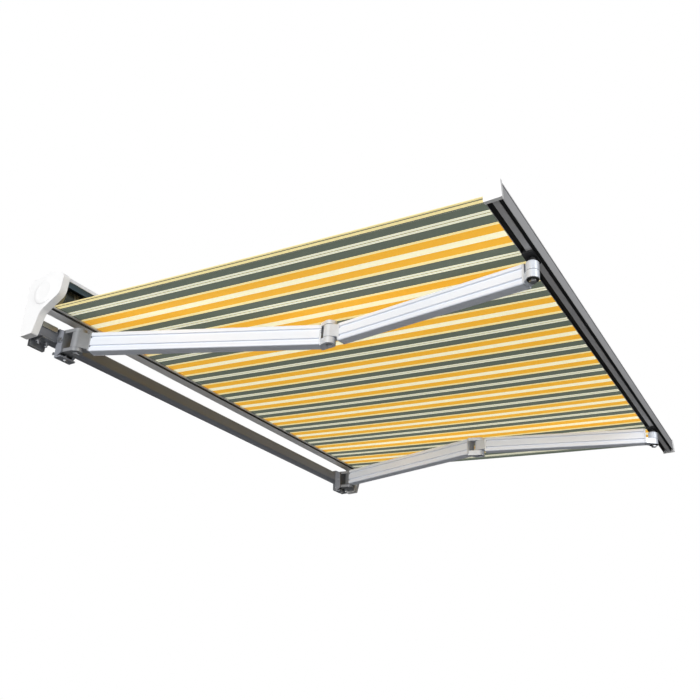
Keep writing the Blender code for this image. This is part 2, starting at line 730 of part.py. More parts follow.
def arm_section(width, height):
    """An arm extrusion: rounded edges, two fine grooves in each side and a hollow core."""
    low, high = FOLD_GAP, FOLD_GAP + width
    half = height / 2
    groove = PROFILE_GROOVE_WIDTH / 2
    depth = PROFILE_GROOVE_DEPTH
    level = height * PROFILE_GROOVE_LEVEL
    corners = [(low, -half, PROFILE_FILLET), (high, -half, PROFILE_FILLET)]
    for z in (-level, level):
        corners += [(high, z - groove, 0), (high - depth, z - groove / 2, 0)]
        corners += [(high - depth, z + groove / 2, 0), (high, z + groove, 0)]
    corners += [(high, half, PROFILE_FILLET), (low, half, PROFILE_FILLET)]
    for z in (level, -level):
        corners += [(low, z + groove, 0), (low + depth, z + groove / 2, 0)]
        corners += [(low + depth, z - groove / 2, 0), (low, z - groove, 0)]
    wall = PROFILE_WALL
    return rounded(corners), rectangle(low + wall, high - wall, -half + wall, half - wall)


def make_extrusion(name, member, start, end, size, side, pivot):
    outline, hole = arm_section(*size)
    body = prism(across(member), outline, start, end, [hole])
    piece(name, "arm_coat", body, side=side, pivot=pivot)


def end_fitting(member, flip, reach, size):
    """The plate that closes an arm tube and the spigot inside the tube, as joining steps."""
    width, height = size
    sign = -1 if flip else 1
    low, high = sorted((sign * FOLD_GAP, sign * (FOLD_GAP + width)))
    half = height / 2
    section = across(member)
    outline = rounded([(a, b, PROFILE_FILLET) for a, b in rectangle(low, high, -half, half)])
    plate = prism(section, outline, reach - END_PLATE, reach - SEAT_GAP)
    inner = PROFILE_WALL + SEAT_GAP
    plug = rectangle(low + inner, high - inner, -half + inner, half - inner)
    spigot = prism(section, plug, reach - END_PLATE / 2, reach + SPIGOT_LENGTH)
    return [(JOIN, plate), (JOIN, spigot)]


def make_upper_arm(side, shoulder):
    """The upper arm's tube, its shoulder knuckle, and the fork and pin of its elbow."""
    name = SIDE_NAMES[side]
    size = (UPPER_WIDTH, UPPER_HEIGHT)
    wide = FOLD_GAP + UPPER_WIDTH
    end = UPPER_LENGTH - ELBOW_REACH
    make_extrusion(f"upper_arm_profile_{name}", UPPER, SHOULDER_REACH, end, size, side, shoulder)
    half = SHOULDER_BARREL / 2
    plan = lug(SHOULDER_RADIUS, SHOULDER_REACH, FOLD_GAP, wide - LUG_TAPER)
    bore = rod(UPPER, SHOULDER_PIN_RADIUS + HINGE_GAP, -half - CUT_RUN, half + CUT_RUN)
    steps = [*end_fitting(UPPER, False, SHOULDER_REACH, size), (CUT, bore)]
    barrel = prism(UPPER, plan, -half, half)
    piece(f"shoulder_knuckle_{name}", "cast_joint", barrel, steps, side, shoulder)
    plan = lug(ELBOW_RADIUS, ELBOW_REACH, LUG_TAPER - wide, -FOLD_GAP)
    top = ELBOW_HEIGHT / 2
    lower = prism(UPPER_BACK, plan, -top, -top + ELBOW_BOTTOM_LUG)
    upper = prism(UPPER_BACK, plan, top - ELBOW_TOP_LUG, top)
    step = CAST_STEP
    web_start = ELBOW_REACH - END_PLATE + step
    web = rectangle(web_start, web_start + END_PLATE / 2, FORK_WEB_INSET - wide, -FORK_WEB_INSET)
    tall = prism(UPPER_BACK, web, step - top, top - step)
    hole = ELBOW_PIN_RADIUS + SEAT_GAP
    bore = rod(UPPER_BACK, hole, -top - CUT_RUN, top - ELBOW_TOP_LUG / 2)
    recess_plan = hexagon(ELBOW_HEX_RADIUS + SEAT_GAP)
    recess = prism(UPPER_BACK, recess_plan, -top - CUT_RUN, -top + ELBOW_HEX_DEPTH)
    steps = [(JOIN, tall), *end_fitting(UPPER_BACK, True, ELBOW_REACH, size), (JOIN, upper)]
    steps += [(CUT, bore), (CUT, recess)]
    piece(f"elbow_fork_{name}", "cast_joint", lower, steps, side, shoulder, solver="MANIFOLD")
    head_end = -top + ELBOW_HEX_DEPTH - SEAT_GAP
    head = prism(UPPER_BACK, hexagon(ELBOW_HEX_RADIUS), -top + ELBOW_HEX_SINK, head_end)
    shank_end = top - ELBOW_TOP_LUG / 2 - SEAT_GAP
    shank = rod(UPPER_BACK, ELBOW_PIN_RADIUS, -top + ELBOW_HEX_SINK * 2, shank_end)
    piece(f"elbow_pin_{name}", "zinc_steel", head, [(JOIN, shank)], side, shoulder)


def make_forearm(side, elbow):
    """The forearm's tube with the knuckle in the elbow's fork and the knuckle of the front joint."""
    name = SIDE_NAMES[side]
    size = (FOREARM_WIDTH, FOREARM_HEIGHT)
    wide = FOLD_GAP + FOREARM_WIDTH
    end = FOREARM_LENGTH - FRONT_REACH
    make_extrusion(f"forearm_profile_{name}", FOREARM, ELBOW_REACH, end, size, side, elbow)
    low = -ELBOW_HEIGHT / 2 + ELBOW_BOTTOM_LUG + HINGE_GAP
    high = ELBOW_HEIGHT / 2 - ELBOW_TOP_LUG - HINGE_GAP
    plan = lug(ELBOW_RADIUS, ELBOW_REACH, FOLD_GAP, wide - LUG_TAPER)
    bore = rod(FOREARM, ELBOW_PIN_RADIUS + HINGE_GAP, low - CUT_RUN, high + CUT_RUN)
    steps = [*end_fitting(FOREARM, False, ELBOW_REACH, size), (CUT, bore)]
    barrel = prism(FOREARM, plan, low, high)
    piece(f"elbow_knuckle_{name}", "cast_joint", barrel, steps, side, elbow)
    low = FRONT_LUG_BOTTOM
    high = FRONT_BARREL_SPLIT - HINGE_GAP
    plan = lug(FRONT_RADIUS, FRONT_REACH, LUG_TAPER * 2 - wide, -FOLD_GAP)
    bore = rod(FOREARM_BACK, FRONT_PIN_RADIUS + HINGE_GAP, low - CUT_RUN, high + CUT_RUN)
    steps = [*end_fitting(FOREARM_BACK, True, FRONT_REACH, size), (CUT, bore)]
    knuckle = prism(FOREARM_BACK, plan, low, high)
    piece(f"front_knuckle_{name}", "cast_joint", knuckle, steps, side, elbow)


CARRIER_TOP = SHOULDER_BARREL / 2 + HINGE_GAP + LUG_THICKNESS
PITCH_BOLT = at(SHOULDER, b=CARRIER_BACK + CARRIER_WEB / 2).translation
PITCH_AXIS = frame((0, 1, 0), (0, 0, 1), (1, 0, 0), PITCH_BOLT)
EAR_OUTSIDE = CARRIER_HALF_WIDTH + SEAT_GAP + BRACKET_EAR
SHELF_TOP = SHOULDER_Z - ELBOW_HEIGHT / 2 - SHELF_DROP


def make_arm_bracket(side):
    """The bracket on the torsion bar: a hooked wall, two ears and a shelf for the pitch screw."""
    name = SIDE_NAMES[side]
    x0, x1 = SHOULDER_X - EAR_OUTSIDE, SHOULDER_X + EAR_OUTSIDE
    over = BAR_HALF + SEAT_GAP
    front = BAR_FRONT_Y - SEAT_GAP
    back = BAR_BACK_Y + SEAT_GAP
    face = front - BRACKET_WALL
    top = over + BRACKET_WALL
    hook = back + BRACKET_EAR
    shelf_bottom = SHELF_TOP - BRACKET_EAR
    web_front = SHOULDER_Y + CARRIER_BACK
    shelf_front = web_front - SHELF_LEAD
    clamp = rounded(
        [
            (hook, over - BRACKET_HOOK, CAST_STEP),
            (hook, top, BRACKET_FILLET),
            (face, top, BRACKET_FILLET),
            (face, SHELF_TOP, 0),
            (shelf_front, SHELF_TOP, 0),
            (shelf_front, shelf_bottom, CAST_STEP),
            (front, shelf_bottom, BRACKET_FILLET),
            (front, over, 0),
            (back, over, 0),
            (back, over - BRACKET_HOOK, 0),
        ]
    )
    lap = face + EAR_LAP
    ear_front = web_front - EAR_FRONT_INSET
    ear = rounded(
        [
            (lap, top - EAR_LAP, 0),
            (ear_front, over - EAR_TOP_DROP, EAR_FILLET),
            (ear_front, SHELF_TOP + EAR_FOOT_RISE, EAR_FILLET),
            (lap, shelf_bottom + EAR_LAP, 0),
        ]
    )
    steps = [(JOIN, prism(ALONG_X, ear, start, start + BRACKET_EAR)) for start in (x0, x1 - BRACKET_EAR)]
    bolt_hole = PITCH_BOLT_RADIUS + SEAT_GAP
    steps.append((CUT, rod(PITCH_AXIS, bolt_hole, -EAR_OUTSIDE - CUT_RUN, EAR_OUTSIDE + CUT_RUN)))
    thread = downwards(SHOULDER_X, PITCH_BOLT.y, SHELF_TOP)
    screw_hole = rod(thread, PITCH_SCREW_RADIUS + SEAT_GAP, -CUT_RUN, BRACKET_EAR + CUT_RUN, SCREW_SIDES)
    steps.append((CUT, screw_hole))
    piece(f"arm_bracket_{name}", "bar_coat", prism(ALONG_X, clamp, x0, x1), steps, side)


def make_carrier(side):
    """The carrier between the ears, which holds the shoulder pin and tilts on the pitch bolt."""
    name = SIDE_NAMES[side]
    half = SHOULDER_BARREL / 2 + HINGE_GAP
    high = CARRIER_TOP
    width = CARRIER_HALF_WIDTH
    web_plan = rectangle(-width, width, CARRIER_BACK, CARRIER_BACK + CARRIER_WEB)
    web = prism(SHOULDER, web_plan, CAST_STEP - high, high - CAST_STEP)
    inset = width - CAST_STEP
    ends = [(a, CARRIER_BACK + CARRIER_LUG_LAP) for a in (-inset, inset)]
    plan = hull(circle(SHOULDER_RADIUS, JOINT_SIDES) + ends)
    steps = [(JOIN, prism(SHOULDER, plan, w0, w1)) for w0, w1 in ((half, high), (-high, -half))]
    steps.append((CUT, rod(SHOULDER, SHOULDER_PIN_RADIUS + SEAT_GAP, -high - CUT_RUN, high + CUT_RUN)))
    bolt_hole = PITCH_BOLT_RADIUS + SEAT_GAP
    steps.append((CUT, rod(PITCH_AXIS, bolt_hole, -width - CUT_RUN, width + CUT_RUN)))
    piece(f"arm_carrier_{name}", "cast_joint", web, steps, side)
    seat = -high - SEAT_GAP
    head = SHOULDER_PIN_RADIUS * 1.5
    pin = [
        (head, seat - SHOULDER_PIN_HEAD),
        (head, seat),
        (SHOULDER_PIN_RADIUS, seat),
        (SHOULDER_PIN_RADIUS, high + SHOULDER_PIN_END),
    ]
    piece(f"shoulder_pin_{name}", "zinc_steel", turned(SHOULDER, pin, JOINT_SIDES), side=side)


def make_pitch_fasteners(side):
    """The bolt that the carrier tilts on, and the screw under it that sets the pitch."""
    name = SIDE_NAMES[side]
    seat = -EAR_OUTSIDE - SEAT_GAP
    head = prism(PITCH_AXIS, hexagon(PITCH_BOLT_RADIUS * 1.8), seat - PITCH_HEAD, seat)
    bolt = rod(PITCH_AXIS, PITCH_BOLT_RADIUS, seat - PITCH_HEAD / 2, EAR_OUTSIDE - SEAT_GAP)
    piece(f"pitch_bolt_{name}", "zinc_steel", head, [(JOIN, bolt)], side)
    thread = downwards(SHOULDER_X, PITCH_BOLT.y, SHELF_TOP)
    web_bottom = (SHOULDER @ Vector((0, CARRIER_BACK + CARRIER_WEB / 2, -CARRIER_TOP))).z
    tip = SHELF_TOP - web_bottom + SEAT_GAP + PITCH_SCREW_RADIUS * sin(ARM_PITCH)
    seat = BRACKET_EAR + SEAT_GAP
    head = prism(thread, hexagon(PITCH_SCREW_RADIUS * 1.8), seat, seat + PITCH_HEAD)
    screw = rod(thread, PITCH_SCREW_RADIUS, tip, seat + PITCH_HEAD / 2, SCREW_SIDES)
    piece(f"pitch_screw_{name}", "zinc_steel", head, [(JOIN, screw)], side)


# Front
def front_section(rim=0.0):
    """The corners of the front profile's outer shape above its inner bottom edge."""
    inner, outer = FRONT_INNER_Y + rim, FRONT_INNER_Y - FRONT_DEPTH - rim
    bottom, top = FRONT_BOTTOM_Z - rim, FRONT_BOTTOM_Z + FRONT_HEIGHT + rim
    return [
        (inner, top - FRONT_SHOULDER_DROP, FRONT_SHOULDER_FILLET),
        (inner - FRONT_CROWN_DEPTH, top, FRONT_CROWN_FILLET),
        (outer, top, FRONT_NOSE_FILLET),
        (outer, bottom, FRONT_TOE_FILLET),
    ]


INNER_SLOT_Y = FRONT_INNER_Y - FRONT_WALL - CAST_STEP


def make_front_profile():
    """The front extrusion: a keder slot for the cloth, two bottom grooves and a chamber."""
    inner, bottom = FRONT_INNER_Y, FRONT_BOTTOM_Z
    outer = inner - FRONT_DEPTH
    keder = KEDER_RADIUS + SEAT_GAP * 2
    throat = CLOTH_THICKNESS / 2 + SEAT_GAP * 2
    bead = keder_centre()
    spread = atan2(throat, sqrt(keder**2 - throat**2))
    # The slot's mouth follows the cloth's slope up to the inner face
    mouth = bead.y + (inner - bead.x) * sin(CLOTH_PITCH)
    outline = [(inner, bottom), (inner, mouth - throat)]
    outline += arc(bead, keder, 2 * pi - spread, spread)
    outline += [(inner, mouth + throat)]
    outline += rounded([(inner, bottom, 0), *front_section()])[1:]
    deep = bottom + FRONT_SLOT_DEPTH
    outer_slot = outer + FRONT_WALL
    slots = (
        (outer_slot, outer_slot + FRONT_SLOT_WIDTH + CAST_STEP),
        (INNER_SLOT_Y - FRONT_SLOT_WIDTH, INNER_SLOT_Y),
    )
    for start, end in slots:
        outline += [(start, bottom), (start, deep), (end, deep), (end, bottom)]
    chamber_top = bottom + FRONT_HEIGHT - CHAMBER_TOP_DROP
    chamber = rectangle(outer_slot, inner - CHAMBER_BACK, deep + FRONT_WALL, chamber_top)
    left, right = CLOTH_LEFT - FRONT_LEFT_GAP, CLOTH_RIGHT + FRONT_RIGHT_GAP
    piece("front_profile", "white_coat", prism(ALONG_X, outline, left, right, [chamber]))
    rim = FRONT_CAP_RIM
    cap = rounded([(inner + rim, bottom - rim, CAST_STEP), *front_section(rim)])
    for name, end in (("left", left - SEAT_GAP), ("right", right + SEAT_GAP + FRONT_CAP_THICKNESS)):
        piece(f"front_cap_{name}", "white_plastic", prism(ALONG_X, cap, end - FRONT_CAP_THICKNESS, end))


def make_front_bracket(side, pivot):
    """The bracket keyed in the profile's groove, its barrel and the bolt of the front joint."""
    name = SIDE_NAMES[side]
    centre = FRONT_PIVOT.translation
    top = FRONT_BOTTOM_Z - SEAT_GAP
    x0, x1 = centre.x - BRACKET_PLATE_HALF, centre.x + BRACKET_PLATE_HALF
    far = INNER_SLOT_Y - FRONT_SLOT_WIDTH
    plan = rectangle(x0, x1, 2 * centre.y - FRONT_INNER_Y, FRONT_INNER_Y - CAST_STEP)
    outline = rounded([(a, b, BRACKET_PLATE_FILLET) for a, b in plan])
    plate = prism(FROM_ABOVE, outline, top - BRACKET_PLATE, top)
    inset = BRACKET_KEY_INSET
    key_plan = rectangle(x0 + inset, x1 - inset, far + SEAT_GAP, INNER_SLOT_Y - SEAT_GAP)
    key_top = FRONT_BOTTOM_Z + FRONT_SLOT_DEPTH - BRACKET_KEY_LAP
    key = prism(FROM_ABOVE, key_plan, top - BRACKET_KEY_LAP, key_top)
    barrel_top = (top - BRACKET_PLATE / 2 - centre.z) / cos(ARM_PITCH)
    barrel = rod(FRONT_PIVOT, FRONT_RADIUS, FRONT_BARREL_SPLIT, barrel_top)
    bore = rod(FRONT_PIVOT, FRONT_PIN_RADIUS + SEAT_GAP, FRONT_BARREL_SPLIT - CUT_RUN, FRONT_PIN_END)
    steps = [(JOIN, key), (JOIN, barrel), (CUT, bore)]
    piece(f"front_bracket_{name}", "cast_joint", plate, steps, side, pivot)
    seat = FRONT_LUG_BOTTOM - SEAT_GAP
    head = prism(FRONT_PIVOT, hexagon(FRONT_PIN_RADIUS * 1.9), seat - FRONT_BOLT_HEAD, seat)
    shank = rod(FRONT_PIVOT, FRONT_PIN_RADIUS, seat - FRONT_BOLT_HEAD / 2, FRONT_PIN_END - SEAT_GAP)
    piece(f"front_bolt_{name}", "zinc_steel", head, [(JOIN, shank)], side, pivot)


def build():
    clear_scene()
    make_torsion_bar()
    make_hood()
    make_tray()
    make_roller()
    make_cloth()
    for side in (LEFT, RIGHT):
        name = SIDE_NAMES[side]
        shoulder = pivot_empty(f"{name}_shoulder_axis", SHOULDER, side)
        elbow = pivot_empty(f"{name}_elbow_axis", ELBOW, side, shoulder)
        front = pivot_empty(f"{name}_front_axis", FRONT_PIVOT, side, elbow)
        make_end_cap(side)
        make_wall_bracket(side)
        make_arm_bracket(side)
        make_carrier(side)
        make_pitch_fasteners(side)
        make_upper_arm(side, shoulder)
        make_forearm(side, elbow)
        make_front_bracket(side, front)
    make_front_profile()


build()
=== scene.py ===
"""Looks of the folding-arm canvas awning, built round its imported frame, in metres with +Z up."""

from __future__ import annotations

import json
import logging
import math
from dataclasses import dataclass, field
from enum import Enum
from typing import Iterable, Sequence

import bmesh
import bpy
from mathutils import Matrix, Vector


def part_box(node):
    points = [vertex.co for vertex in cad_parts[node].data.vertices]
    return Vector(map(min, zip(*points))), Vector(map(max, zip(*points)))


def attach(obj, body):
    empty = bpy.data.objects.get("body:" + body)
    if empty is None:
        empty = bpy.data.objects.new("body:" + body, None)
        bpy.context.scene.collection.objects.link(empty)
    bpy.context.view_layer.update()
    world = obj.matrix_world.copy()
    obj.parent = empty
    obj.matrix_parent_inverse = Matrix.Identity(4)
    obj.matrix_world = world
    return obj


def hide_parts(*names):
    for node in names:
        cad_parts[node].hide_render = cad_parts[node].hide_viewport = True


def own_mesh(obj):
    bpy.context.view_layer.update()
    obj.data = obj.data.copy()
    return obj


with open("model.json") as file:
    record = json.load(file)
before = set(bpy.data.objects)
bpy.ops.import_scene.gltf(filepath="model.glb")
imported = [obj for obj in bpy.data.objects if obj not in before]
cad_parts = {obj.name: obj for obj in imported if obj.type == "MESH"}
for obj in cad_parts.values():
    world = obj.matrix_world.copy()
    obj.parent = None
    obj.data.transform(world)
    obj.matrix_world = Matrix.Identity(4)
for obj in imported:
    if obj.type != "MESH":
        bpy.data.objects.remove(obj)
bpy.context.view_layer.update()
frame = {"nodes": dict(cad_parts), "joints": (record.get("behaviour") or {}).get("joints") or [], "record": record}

LOG = logging.getLogger("awning")

Point = tuple[float, float]
Corner = tuple[float, float, float]
Colour = tuple[float, float, float, float]
Solid = bmesh.types.BMesh

SEAT_GAP = 0.0003
ARC_STEP = math.radians(9.0)
ROUND_SIDES = 64
EDGE = 0.0006
OVERCUT = 0.01
HEXAGON = 6
SCREW_SIDES = 32
KNUCKLE_SIDES = 72
BLACK = (0.0, 0.0, 0.0, 1.0)
WHITE = (1.0, 1.0, 1.0, 1.0)


class Side(Enum):
    """Which end of the awning a piece is on; the value is the sign that mirrors it."""

    LEFT = 1
    RIGHT = -1

    @property
    def word(self) -> str:
        """The side as it stands in a node's name."""
        return self.name.lower()


class Slot(Enum):
    """The record's material slots."""

    ARM_COAT = "arm_coat"
    PROFILE_COAT = "profile_coat"
    BAR_COAT = "bar_coat"
    WHITE_PLASTIC = "white_plastic"
    DARK_PLASTIC = "dark_plastic"
    CAST_JOINT = "cast_joint"
    ZINC_STEEL = "zinc_steel"
    TUBE_STEEL = "tube_steel"
    STRIPED_CLOTH = "striped_cloth"


class Tone(Enum):
    """Darker copies of slots' finishes that paint shade: on the front rail, the castings at the shoulder and
    elbow, the wound roll and a sheet inside the hood.
    """

    FRONT_COAT = "front_coat"
    DARK_CAST = "dark_cast"
    WOUND_CLOTH = "wound_cloth"
    LINING = "lining"


# Shader expressions
class Signal:
    """A number output in a node tree that takes part in arithmetic."""

    def __init__(self, graph: NodeGraph, socket: bpy.types.NodeSocket) -> None:
        """Keeps the graph and the socket."""
        self.graph = graph
        self.socket = socket

    def _math(self, operation: str, other: float | Signal, swapped: bool = False) -> Signal:
        """Adds one Math node.

        Args:
            operation: The Math node's operation.
            other: The second value or signal.
            swapped: Whether the other one comes first.

        Returns:
            The node's output.
        """
        pair = (other, self) if swapped else (self, other)
        node = self.graph.node("ShaderNodeMath", {"operation": operation}, {0: pair[0], 1: pair[1]})
        return Signal(self.graph, node.outputs[0])

    def __add__(self, other: float | Signal) -> Signal:
        """Sum."""
        return self._math("ADD", other)

    __radd__ = __add__

    def __sub__(self, other: float | Signal) -> Signal:
        """Difference."""
        return self._math("SUBTRACT", other)

    def __rsub__(self, other: float | Signal) -> Signal:
        """Difference from a value."""
        return self._math("SUBTRACT", other, swapped=True)

    def __mul__(self, other: float | Signal) -> Signal:
        """Product."""
        return self._math("MULTIPLY", other)

    def __truediv__(self, other: float | Signal) -> Signal:
        """Quotient."""
        return self._math("DIVIDE", other)

    def __lt__(self, other: float | Signal) -> Signal:
        """1 where this is less."""
        return self._math("LESS_THAN", other)

    def fract(self) -> Signal:
        """The part after the decimal point."""
        return self._math("FRACT", 0.0)

    def sine(self) -> Signal:
        """The sine of this angle."""
        return self._math("SINE", 0.0)

    def absolute(self) -> Signal:
        """The value without its sign."""
        return self._math("ABSOLUTE", 0.0)


class NodeGraph:
    """A material's node tree with one Principled shader."""

    def __init__(self, name: str) -> None:
        """Starts a material of this name."""
        self.material = bpy.data.materials.new(name)
        self.material.use_nodes = True
        self.tree = self.material.node_tree
        self.shader = self.tree.nodes["Principled BSDF"]

    def node(self, kind: str, settings: dict, inputs: dict) -> bpy.types.Node:
        """Adds a node.

        Args:
            kind: The node's type.
            settings: Its properties, or "stops" for a ramp's (place, colour) pairs.
            inputs: Values or links by socket name or number.

        Returns:
            The node.
        """
        made = self.tree.nodes.new(kind)
        for key, value in settings.items():
            if key == "stops":
                self._stops(made, value)
            elif key == "interpolation":
                made.color_ramp.interpolation = value
            else:
                setattr(made, key, value)
        for key, value in inputs.items():
            self.feed(made.inputs[key], value)
        return made

    @staticmethod
    def _stops(made: bpy.types.Node, stops: Sequence[tuple[float, Sequence[float]]]) -> None:
        """Sets a ramp's stops."""
        ramp = made.color_ramp
        while len(ramp.elements) < len(stops):
            ramp.elements.new(1.0)
        for element, (place, colour) in zip(ramp.elements, stops):
            element.position = place
            element.color = (*colour, 1.0)

    def feed(self, socket: bpy.types.NodeSocket, value: object) -> None:
        """Links a signal or a socket to an input, or writes a constant on it."""
        if isinstance(value, Signal):
            self.tree.links.new(value.socket, socket)
        elif isinstance(value, bpy.types.NodeSocket):
            self.tree.links.new(value, socket)
        else:
            socket.default_value = value

    def place(self) -> bpy.types.NodeSocket:
        """The surface's place in the awning's own frame, in metres."""
        return self.node("ShaderNodeTexCoord", {}, {}).outputs["Object"]

    def axes(self) -> tuple[Signal, Signal, Signal]:
        """The place as three signals."""
        parts = self.node("ShaderNodeSeparateXYZ", {}, {0: self.place()})
        x, y, z = (Signal(self, parts.outputs[n]) for n in range(3))
        return x, y, z

    def noise(self, scale: float, stretch: Sequence[float] = (1, 1, 1), detail: float = 3.0) -> Signal:
        """Noise between 0 and 1.

        Args:
            scale: Cells for each metre.
            stretch: Factors on the place along X, Y and Z.
            detail: Octaves.

        Returns:
            The noise.
        """
        mapped = self.node("ShaderNodeMapping", {}, {"Vector": self.place(), "Scale": tuple(stretch)})
        made = self.node(
            "ShaderNodeTexNoise",
            {"noise_dimensions": "3D"},
            {"Vector": mapped.outputs[0], "Scale": scale, "Detail": detail},
        )
        return Signal(self, made.outputs[0])

    def mix(self, factor: float | Signal, first: object, second: object) -> bpy.types.NodeSocket:
        """A colour between two others."""
        made = self.node("ShaderNodeMix", {"data_type": "RGBA"}, {0: factor, 6: first, 7: second})
        return made.outputs[2]

    def bump(self, height: Signal, depth: float, strength: float = 1.0) -> None:
        """Gives the shader a bump of this depth in metres."""
        made = self.node(
            "ShaderNodeBump", {}, {"Height": height, "Distance": depth, "Strength": strength}
        )
        self.feed(self.shader.inputs["Normal"], made.outputs[0])

    def set(self, **values: object) -> None:
        """Writes Principled inputs; an underscore stands for a space."""
        for key, value in values.items():
            self.feed(self.shader.inputs[key.replace("_", " ")], value)


def linear(red: int, green: int, blue: int) -> Colour:
    """A colour of 0 to 255 screen values as a linear one."""

    def one(value: int) -> float:
        share = value / 255
        return share / 12.92 if share <= 0.04045 else ((share + 0.055) / 1.055) ** 2.4

    return one(red), one(green), one(blue), 1.0


def shaded(colour: Colour, share: float) -> Colour:
    """A colour at this share of its brightness."""
    return tuple(c * share for c in colour[:3]) + (1.0,)


@dataclass(frozen=True)
class PowderCoat:
    """Baked powder coat on an extrusion: an even colour with a fine orange peel."""

    name: str
    colour: Colour
    roughness: float = 0.34
    peel: float = 0.00005
    dust: float = 0.08

    def material(self) -> bpy.types.Material:
        """Builds the finish."""
        graph = NodeGraph(self.name)
        cloud = graph.noise(6.0, detail=4.0)
        fine = graph.noise(900.0, detail=2.0)
        graph.set(
            Base_Color=graph.mix(cloud, shaded(self.colour, 1 - self.dust), self.colour),
            Roughness=self.roughness + cloud * 0.08 + fine * 0.04,
        )
        graph.shader.inputs["Specular IOR Level"].default_value = 0.5
        graph.bump(fine, self.peel)
        return graph.material


@dataclass(frozen=True)
class CastAluminium:
    """Painted die casting: a slightly mottled skin with soft pits."""

    name: str
    colour: Colour
    metallic: float = 0.2
    roughness: float = 0.33
    dark: float = 0.82
    pits: float = 0.00009

    def material(self) -> bpy.types.Material:
        """Builds the finish."""
        graph = NodeGraph(self.name)
        mottle = graph.noise(70.0, detail=4.0)
        fine = graph.noise(520.0, detail=3.0)
        graph.set(
            Base_Color=graph.mix(mottle, shaded(self.colour, self.dark), self.colour),
            Roughness=self.roughness + mottle * 0.12,
            Metallic=self.metallic,
        )
        graph.bump(fine + mottle * 0.6, self.pits)
        return graph.material


@dataclass(frozen=True)
class PlatedSteel:
    """Zinc plated or galvanised steel, drawn or turned along X."""

    name: str
    colour: Colour
    roughness: float = 0.3
    stretch: tuple[float, float, float] = (0.06, 1.0, 1.0)
    dark: float = 0.7
    scratch: float = 0.00004

    def material(self) -> bpy.types.Material:
        """Builds the finish."""
        graph = NodeGraph(self.name)
        streak = graph.noise(420.0, self.stretch, 3.0)
        spangle = graph.noise(55.0, detail=2.0)
        graph.set(
            Base_Color=graph.mix(spangle, shaded(self.colour, self.dark), self.colour),
            Roughness=self.roughness + streak * 0.16,
            Metallic=1.0,
        )
        graph.bump(streak, self.scratch)
        return graph.material


@dataclass(frozen=True)
class Moulding:
    """Injection moulded plastic with a fine spark texture."""

    name: str
    colour: Colour
    roughness: float = 0.36
    dark: float = 0.95
    grain: float = 0.00005

    def material(self) -> bpy.types.Material:
        """Builds the finish."""
        graph = NodeGraph(self.name)
        cloud = graph.noise(9.0, detail=3.0)
        grain = graph.noise(1100.0, detail=2.0)
        graph.set(
            Base_Color=graph.mix(cloud, shaded(self.colour, self.dark), self.colour),
            Roughness=self.roughness + grain * 0.08 + cloud * 0.04,
        )
        graph.bump(grain, self.grain)
        return graph.material


